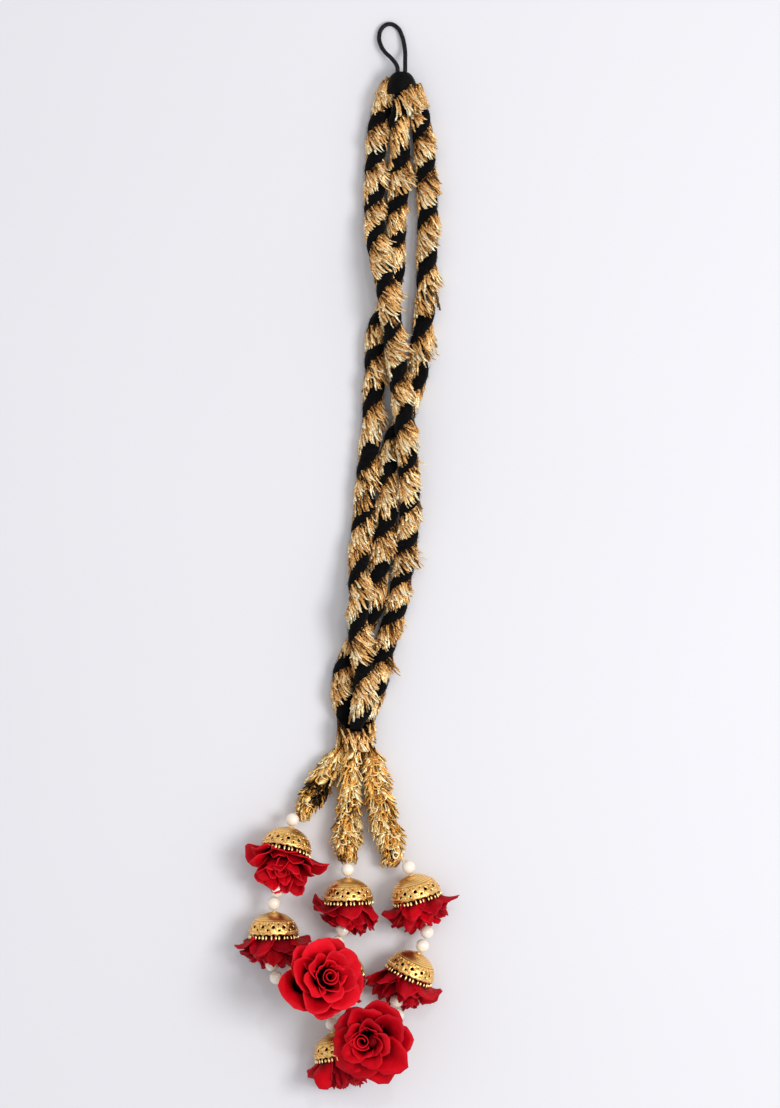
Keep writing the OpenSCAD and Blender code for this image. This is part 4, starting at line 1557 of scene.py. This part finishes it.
class PARANDA_OT_roses(bpy.types.Operator):
    """Cut, cup and ruffle the petals of each cloth rose and roll its bud"""
    bl_idname = "paranda.roses"
    bl_label = "Cloth Roses"

    # Lengths in this class are in millimetres
    seed = 71
    # Petals in a layer, and how many more a rose has that is seen from the side
    petals = 5
    more_petals = 2
    inner_petals = 4
    # How far, in degrees, a petal reaches under its neighbours
    overlap = 20
    side_overlap = 13
    # How much shorter a petal is at its sides
    roundness = 0.3
    depth = 32
    bud_end = 27
    bud_turns = 1.9
    cap_mouth = 13.5
    # How much deeper a petal's tip lies for each step that its reach is short of the longest
    cupping = 1.5
    # Crumples in the cloth: their height, their waves across and along a petal, and their shift
    crumples = ((0.45, 4, 5, 2), (0.28, 11, 6, 1), (0.22, -7, 15, 3))
    # How far the inner layers of a rose nod upwards, in degrees, about a point on its axis
    nods = {"left_1": 31, "left_2": 6, "middle_1": 10, "middle_2": 14, "middle_3": 8, "right_1": 12,
            "right_2": 18}
    nod_at = 18
    outer_nod = 0.5
    # How much deeper a rose's right side hangs than its left one
    droops = {"left_1": 1.5, "middle_1": 2, "right_1": -2.5}
    # How much higher a rose's outer petals rise at its two sides
    lifts = {"middle_1": 6, "right_2": 5}
    # How far the outer petals and the bud of a face-up rose lean along x and y
    leans = {"left_3": ((6.0, 3.0), (8.5, 4.5)), "right_3": ((-1.5, 0.5), (-6.5, 1.0))}
    # How much lighter some of the roses are: painted light, lighter on the two face-up roses
    # and darker, as painted shade, on most of those seen from the side
    brighter = {"left_3": 0.1, "right_3": 0.05, "middle_1": -0.4, "left_2": -0.35, "right_1": -0.15,
                "right_2": -0.2, "left_1": -0.1, "middle_3": -0.25}

    def execute(self, context):
        settings = context.scene.paranda_roses
        finish = cloth_finish(settings)
        petal, bud = flat_grid("petal", 15, 10), flat_grid("bud", 48, 7)
        for index, name in enumerate(UNITS):
            random = np.random.default_rng(self.seed + index)
            petals = self.petals + (self.more_petals if name in self.nods else 0)
            parts = []
            for layer in (*LAYERS, INNER_LAYER):
                count = self.inner_petals if layer is INNER_LAYER else petals
                for k in range(count):
                    parts.append(self.petal(settings, petal, name, layer, k / count, count, random))
            parts.append(self.bud(bud, name, random))
            rose = join("rose", parts)
            apply_modifier(rose, "SOLIDIFY", thickness=settings.cloth, offset=0)
            rose = join("rose", [self.seat(name), rose])
            rose.data.transform(unit_matrix(name))
            rest_on_floor(rose)
            rose.data.shade_smooth()
            hand_over(rose, "cloth_rose_" + name, finish, ["rose_" + name])
        for sheet in (petal, bud):
            bpy.data.objects.remove(sheet)
        return {"FINISHED"}

    def habit(self, random):
        """How one petal differs from the others"""
        return Habit(aside=random.normal(0, 0.05), wave=random.uniform(1.2, 2.2),
                     phase=random.uniform(0, 6), size=random.uniform(0.9, 1.06),
                     sink=random.normal(0, 1.4), slant=random.normal(0, 2.0),
                     roll=random.uniform(0.3, 1.2), tint=random.uniform(0.2, 0.8))

    def petal(self, settings, flat, name, layer, turn, count, random):
        """One petal, from its foot in the cap over its bend to its rolled and ruffled edge"""
        unit, nod, habit = UNITS[name], self.nods.get(name, 0), self.habit(random)
        made = own_copy(flat)
        u, v = corners_of(made)[:, 0], corners_of(made)[:, 1]
        across = 2 * u - 1
        centre = math.radians(unit.turn + layer.turn + 360 * turn) + habit.aside
        half = math.radians(180 / count + (self.side_overlap if nod else self.overlap))
        narrow = 0.5 + 0.5 * smooth_step(v, 0, 0.6) - 0.1 * smooth_step(v, 0.7, 1.0)
        angle = centre + half * across * narrow
        r, slope_r, z, slope_z = self.bent(name, layer, habit, across, angle, v)
        lift = self.ruffled(settings, name, layer.share, habit, across, v)
        if layer.share == 1:
            lift = lift - 0.08 * nod * across * math.cos(centre) * v
        steep = np.hypot(slope_r, slope_z)
        r, z = r - lift * slope_z / steep, z + lift * slope_r / steep
        places = np.stack([-r * np.sin(angle), r * np.cos(angle), z], -1)
        places = self.nodded(name, places, self.outer_nod if layer.share == 1 else 1)
        move_corners(made, self.leant(name, places, layer.share) * MM)
        # The tint is random per petal, shifted by the rose's painted light and shade
        paint(made, "tint", habit.tint + self.brighter.get(name, 0))
        paint(made, "sear", 0.15 + 0.85 * unit.pointed if unit.pointed else 0.0)
        return made

    def bent(self, name, layer, habit, across, angle, v):
        """A petal's smooth form, bent over the cap's rim: its radius and depth, each with its
        slope along the petal"""
        unit = UNITS[name]
        foot_r, foot_z = layer.foot
        tip_r, tip_z = self.tip(name, layer, habit, across, angle)
        rim_r = np.minimum(layer.rim[0], foot_r + 0.7 * (tip_r - foot_r))
        rim_z = self.deepened(unit, layer.rim[1])
        way = v * self.outline(name, across, habit.phase)
        bend_r = 2 * rim_r - (foot_r + tip_r) / 2
        bend_z = 2 * rim_z - (foot_z + tip_z) / 2
        return *bow(foot_r, bend_r, tip_r, way), *bow(foot_z, bend_z, tip_z, way)

    def deepened(self, unit, depth):
        """A depth in a rose, moved down with the depth that is added to it"""
        return depth + unit.extra * (depth - self.cap_mouth) / (self.depth - self.cap_mouth)

    def outline(self, name, across, phase):
        """A petal's length across its width: round, pointed in the middle and ragged"""
        pointed = UNITS[name].pointed
        roundness = self.roundness + (0.1 if name in self.nods else 0)
        shorter = roundness * np.abs(across) ** (2.6 - pointed)
        spike = 0.09 * pointed * np.exp(-(across / 0.14) ** 2)
        teeth = np.sin(19 * across + phase) + np.sin(43 * across + 2 * phase)
        return 1 - shorter + spike + 0.02 * (0.4 + pointed) * teeth

    def tip(self, name, layer, habit, across, angle):
        """Radius and depth at which a petal ends, for each of its corners"""
        unit, nod, share = UNITS[name], self.nods.get(name, 0), layer.share
        up = np.clip(np.sin(angle), 0, 1) * nod / 40
        reach = reach_at(unit.reach, angle)
        cup = self.cupping * share**2 * (max(unit.reach) - reach) * (1 - up)
        reach = reach * (1 - (0.1 if share == 1 else 0.45) * up)
        reach = reach * (0.86 * share if nod and share < 1 else share)
        tip_r = np.maximum(reach * habit.size, layer.foot[0] + 1.3)
        tip_z = self.deepened(unit, layer.tip) + cup
        tip_z = tip_z + share * (habit.sink + habit.slant * across)
        tip_z = tip_z + share * self.droops.get(name, 0) * np.cos(angle)
        tip_z = tip_z - share**2 * self.lifts.get(name, 0) * np.cos(angle) ** 2
        return tip_r, np.minimum(tip_z, self.depth + 1 + unit.extra)

    def ruffled(self, settings, name, share, habit, across, v):
        """How far a petal stands off its smooth form: its cup, its waves and its rolled edge"""
        curl = settings.curl / MM
        ruffle = settings.ruffle / MM
        cup = 1.2 + (1.0 if name in self.nods else 2.4) * share
        lift = cup * across**2 * v**1.2 + 1.3 * across * v * share
        lift -= 0.3 * v * np.exp(-(across / 0.2) ** 2)
        lift += ruffle * share * v**2 * np.sin(math.pi * habit.wave * (across + 1) + habit.phase)
        for height, waves_across, waves_along, shift in self.crumples:
            wave = waves_across * across + waves_along * v + shift * habit.phase
            lift += height * v * np.sin(wave)
        lift -= curl * smooth_step(v, 0.78, 1.05) ** 2 * habit.roll
        lift -= 0.5 * curl * smooth_step(np.abs(across), 0.8, 1.05) ** 2 * v
        return lift

    def bud(self, flat, name, random):
        """The rolled bud: a strip of cloth wound nearly twice, open at its outer edge"""
        made = own_copy(flat)
        u, v = corners_of(made)[:, 0], corners_of(made)[:, 1]
        angle = random.uniform(0, 6) + 2 * math.pi * self.bud_turns * u
        r = (1.5 + 2.9 * u) * (0.9 + 0.16 * v) + 0.9 * v**5 * (0.3 + u)
        top = self.bud_end + UNITS[name].extra - 0.5 + 1.2 * np.sin(2.5 * angle) * u
        z = 16 + (top - 16) * v
        places = np.stack([-r * np.sin(angle), r * np.cos(angle), z], -1)
        move_corners(made, self.leant(name, self.nodded(name, places, 1), 0) * MM)
        paint(made, "tint", 0.45)
        return made

    def leant(self, name, places, share):
        """Places moved sideways by a face-up rose's lean, outside its cap"""
        if name not in self.leans:
            return places
        outer, bud = (Vector((*side, 0)) for side in self.leans[name])
        aside = unit_matrix(name).to_3x3().inverted() @ bud.lerp(outer, share)
        return places + smooth_step(places[:, 2], 12, 20)[:, None] * np.array(aside)

    def nodded(self, name, places, part):
        """Places turned upwards by a part of the rose's nod, the more the further from the cap"""
        start = 16 - 4 * part
        turn = -part * math.radians(self.nods.get(name, 0))
        turn = turn * smooth_step(places[:, 2], start, start + 10)
        x, y, z = places.T
        z = z - self.nod_at
        return np.stack([x * np.cos(turn) + z * np.sin(turn), y,
                         self.nod_at + z * np.cos(turn) - x * np.sin(turn)], -1)

    def seat(self, name):
        """The gathered seat of the petals inside the cap"""
        extra = UNITS[name].extra
        rows = np.array([(4, 5), (7.6, 9), (8, 10.5), (6.4, 13.5), (5.0, 17), (4.2, 20 + extra / 2),
                         (1.4, 20.6 + extra / 2)])

        def turned(u, v):
            steps = np.linspace(0, 1, len(rows))
            r, z = np.interp(v, steps, rows[:, 0]), np.interp(v, steps, rows[:, 1])
            angle = 2 * math.pi * u
            return np.stack([r * np.cos(angle), r * np.sin(angle), z], -1) * MM

        made = rolled_sheet("seat", 20, 12, turned)
        paint(made, "tint", 0.1)
        return made


class PARANDA_OT_strings(bpy.types.Operator):
    """Give the pearls and their threads, which stay as packed, their finish"""
    bl_idname = "paranda.strings"
    bl_label = "Pearls and Threads"

    def execute(self, context):
        settings = context.scene.paranda_pearls
        pearl, thread = pearl_finish(settings), thread_finish(settings)
        for node in sorted(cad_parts):
            if node.startswith("pearl_"):
                coat_node(node, pearl)
            elif node.startswith("thread_"):
                coat_node(node, thread)
        return {"FINISHED"}


class PARANDA_PT_panel(bpy.types.Panel):
    """The steps that dress the paranda, in their order"""
    bl_idname = "PARANDA_PT_panel"
    bl_label = "Paranda"
    bl_space_type = "VIEW_3D"
    bl_region_type = "UI"
    bl_category = "Paranda"

    def draw(self, context):
        for step in STEPS:
            self.layout.operator(step.bl_idname)


STEPS = (
    PARANDA_OT_stage, PARANDA_OT_hanging_loop, PARANDA_OT_head, PARANDA_OT_ropes,
    PARANDA_OT_wound_fringe, PARANDA_OT_join, PARANDA_OT_tails, PARANDA_OT_caps,
    PARANDA_OT_roses, PARANDA_OT_strings,
)
CLASSES = (
    StageSettings, LoopSettings, RopeSettings, FringeSettings, CapSettings, RoseSettings,
    PearlSettings, *STEPS, PARANDA_PT_panel,
)
SETTINGS = {
    "paranda_stage": StageSettings, "paranda_loop": LoopSettings, "paranda_ropes": RopeSettings,
    "paranda_fringe": FringeSettings, "paranda_caps": CapSettings, "paranda_roses": RoseSettings,
    "paranda_pearls": PearlSettings,
}


def register():
    """Adds the classes, and their settings to every scene"""
    for made in CLASSES:
        bpy.utils.register_class(made)
    for name, group in SETTINGS.items():
        setattr(bpy.types.Scene, name, bpy.props.PointerProperty(type=group))


def unregister():
    """Takes the settings and the classes away again"""
    for name in SETTINGS:
        delattr(bpy.types.Scene, name)
    for made in reversed(CLASSES):
        bpy.utils.unregister_class(made)


def main():
    """Dresses the frame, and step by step"""
    register()
    bpy.ops.paranda.stage()
    bpy.ops.paranda.hanging_loop()
    bpy.ops.paranda.head()
    bpy.ops.paranda.ropes()
    bpy.ops.paranda.wound_fringe()
    bpy.ops.paranda.join_fringe()
    bpy.ops.paranda.tails()
    bpy.ops.paranda.caps()
    bpy.ops.paranda.roses()
    bpy.ops.paranda.strings()


if __name__ == "__main__":
    main()
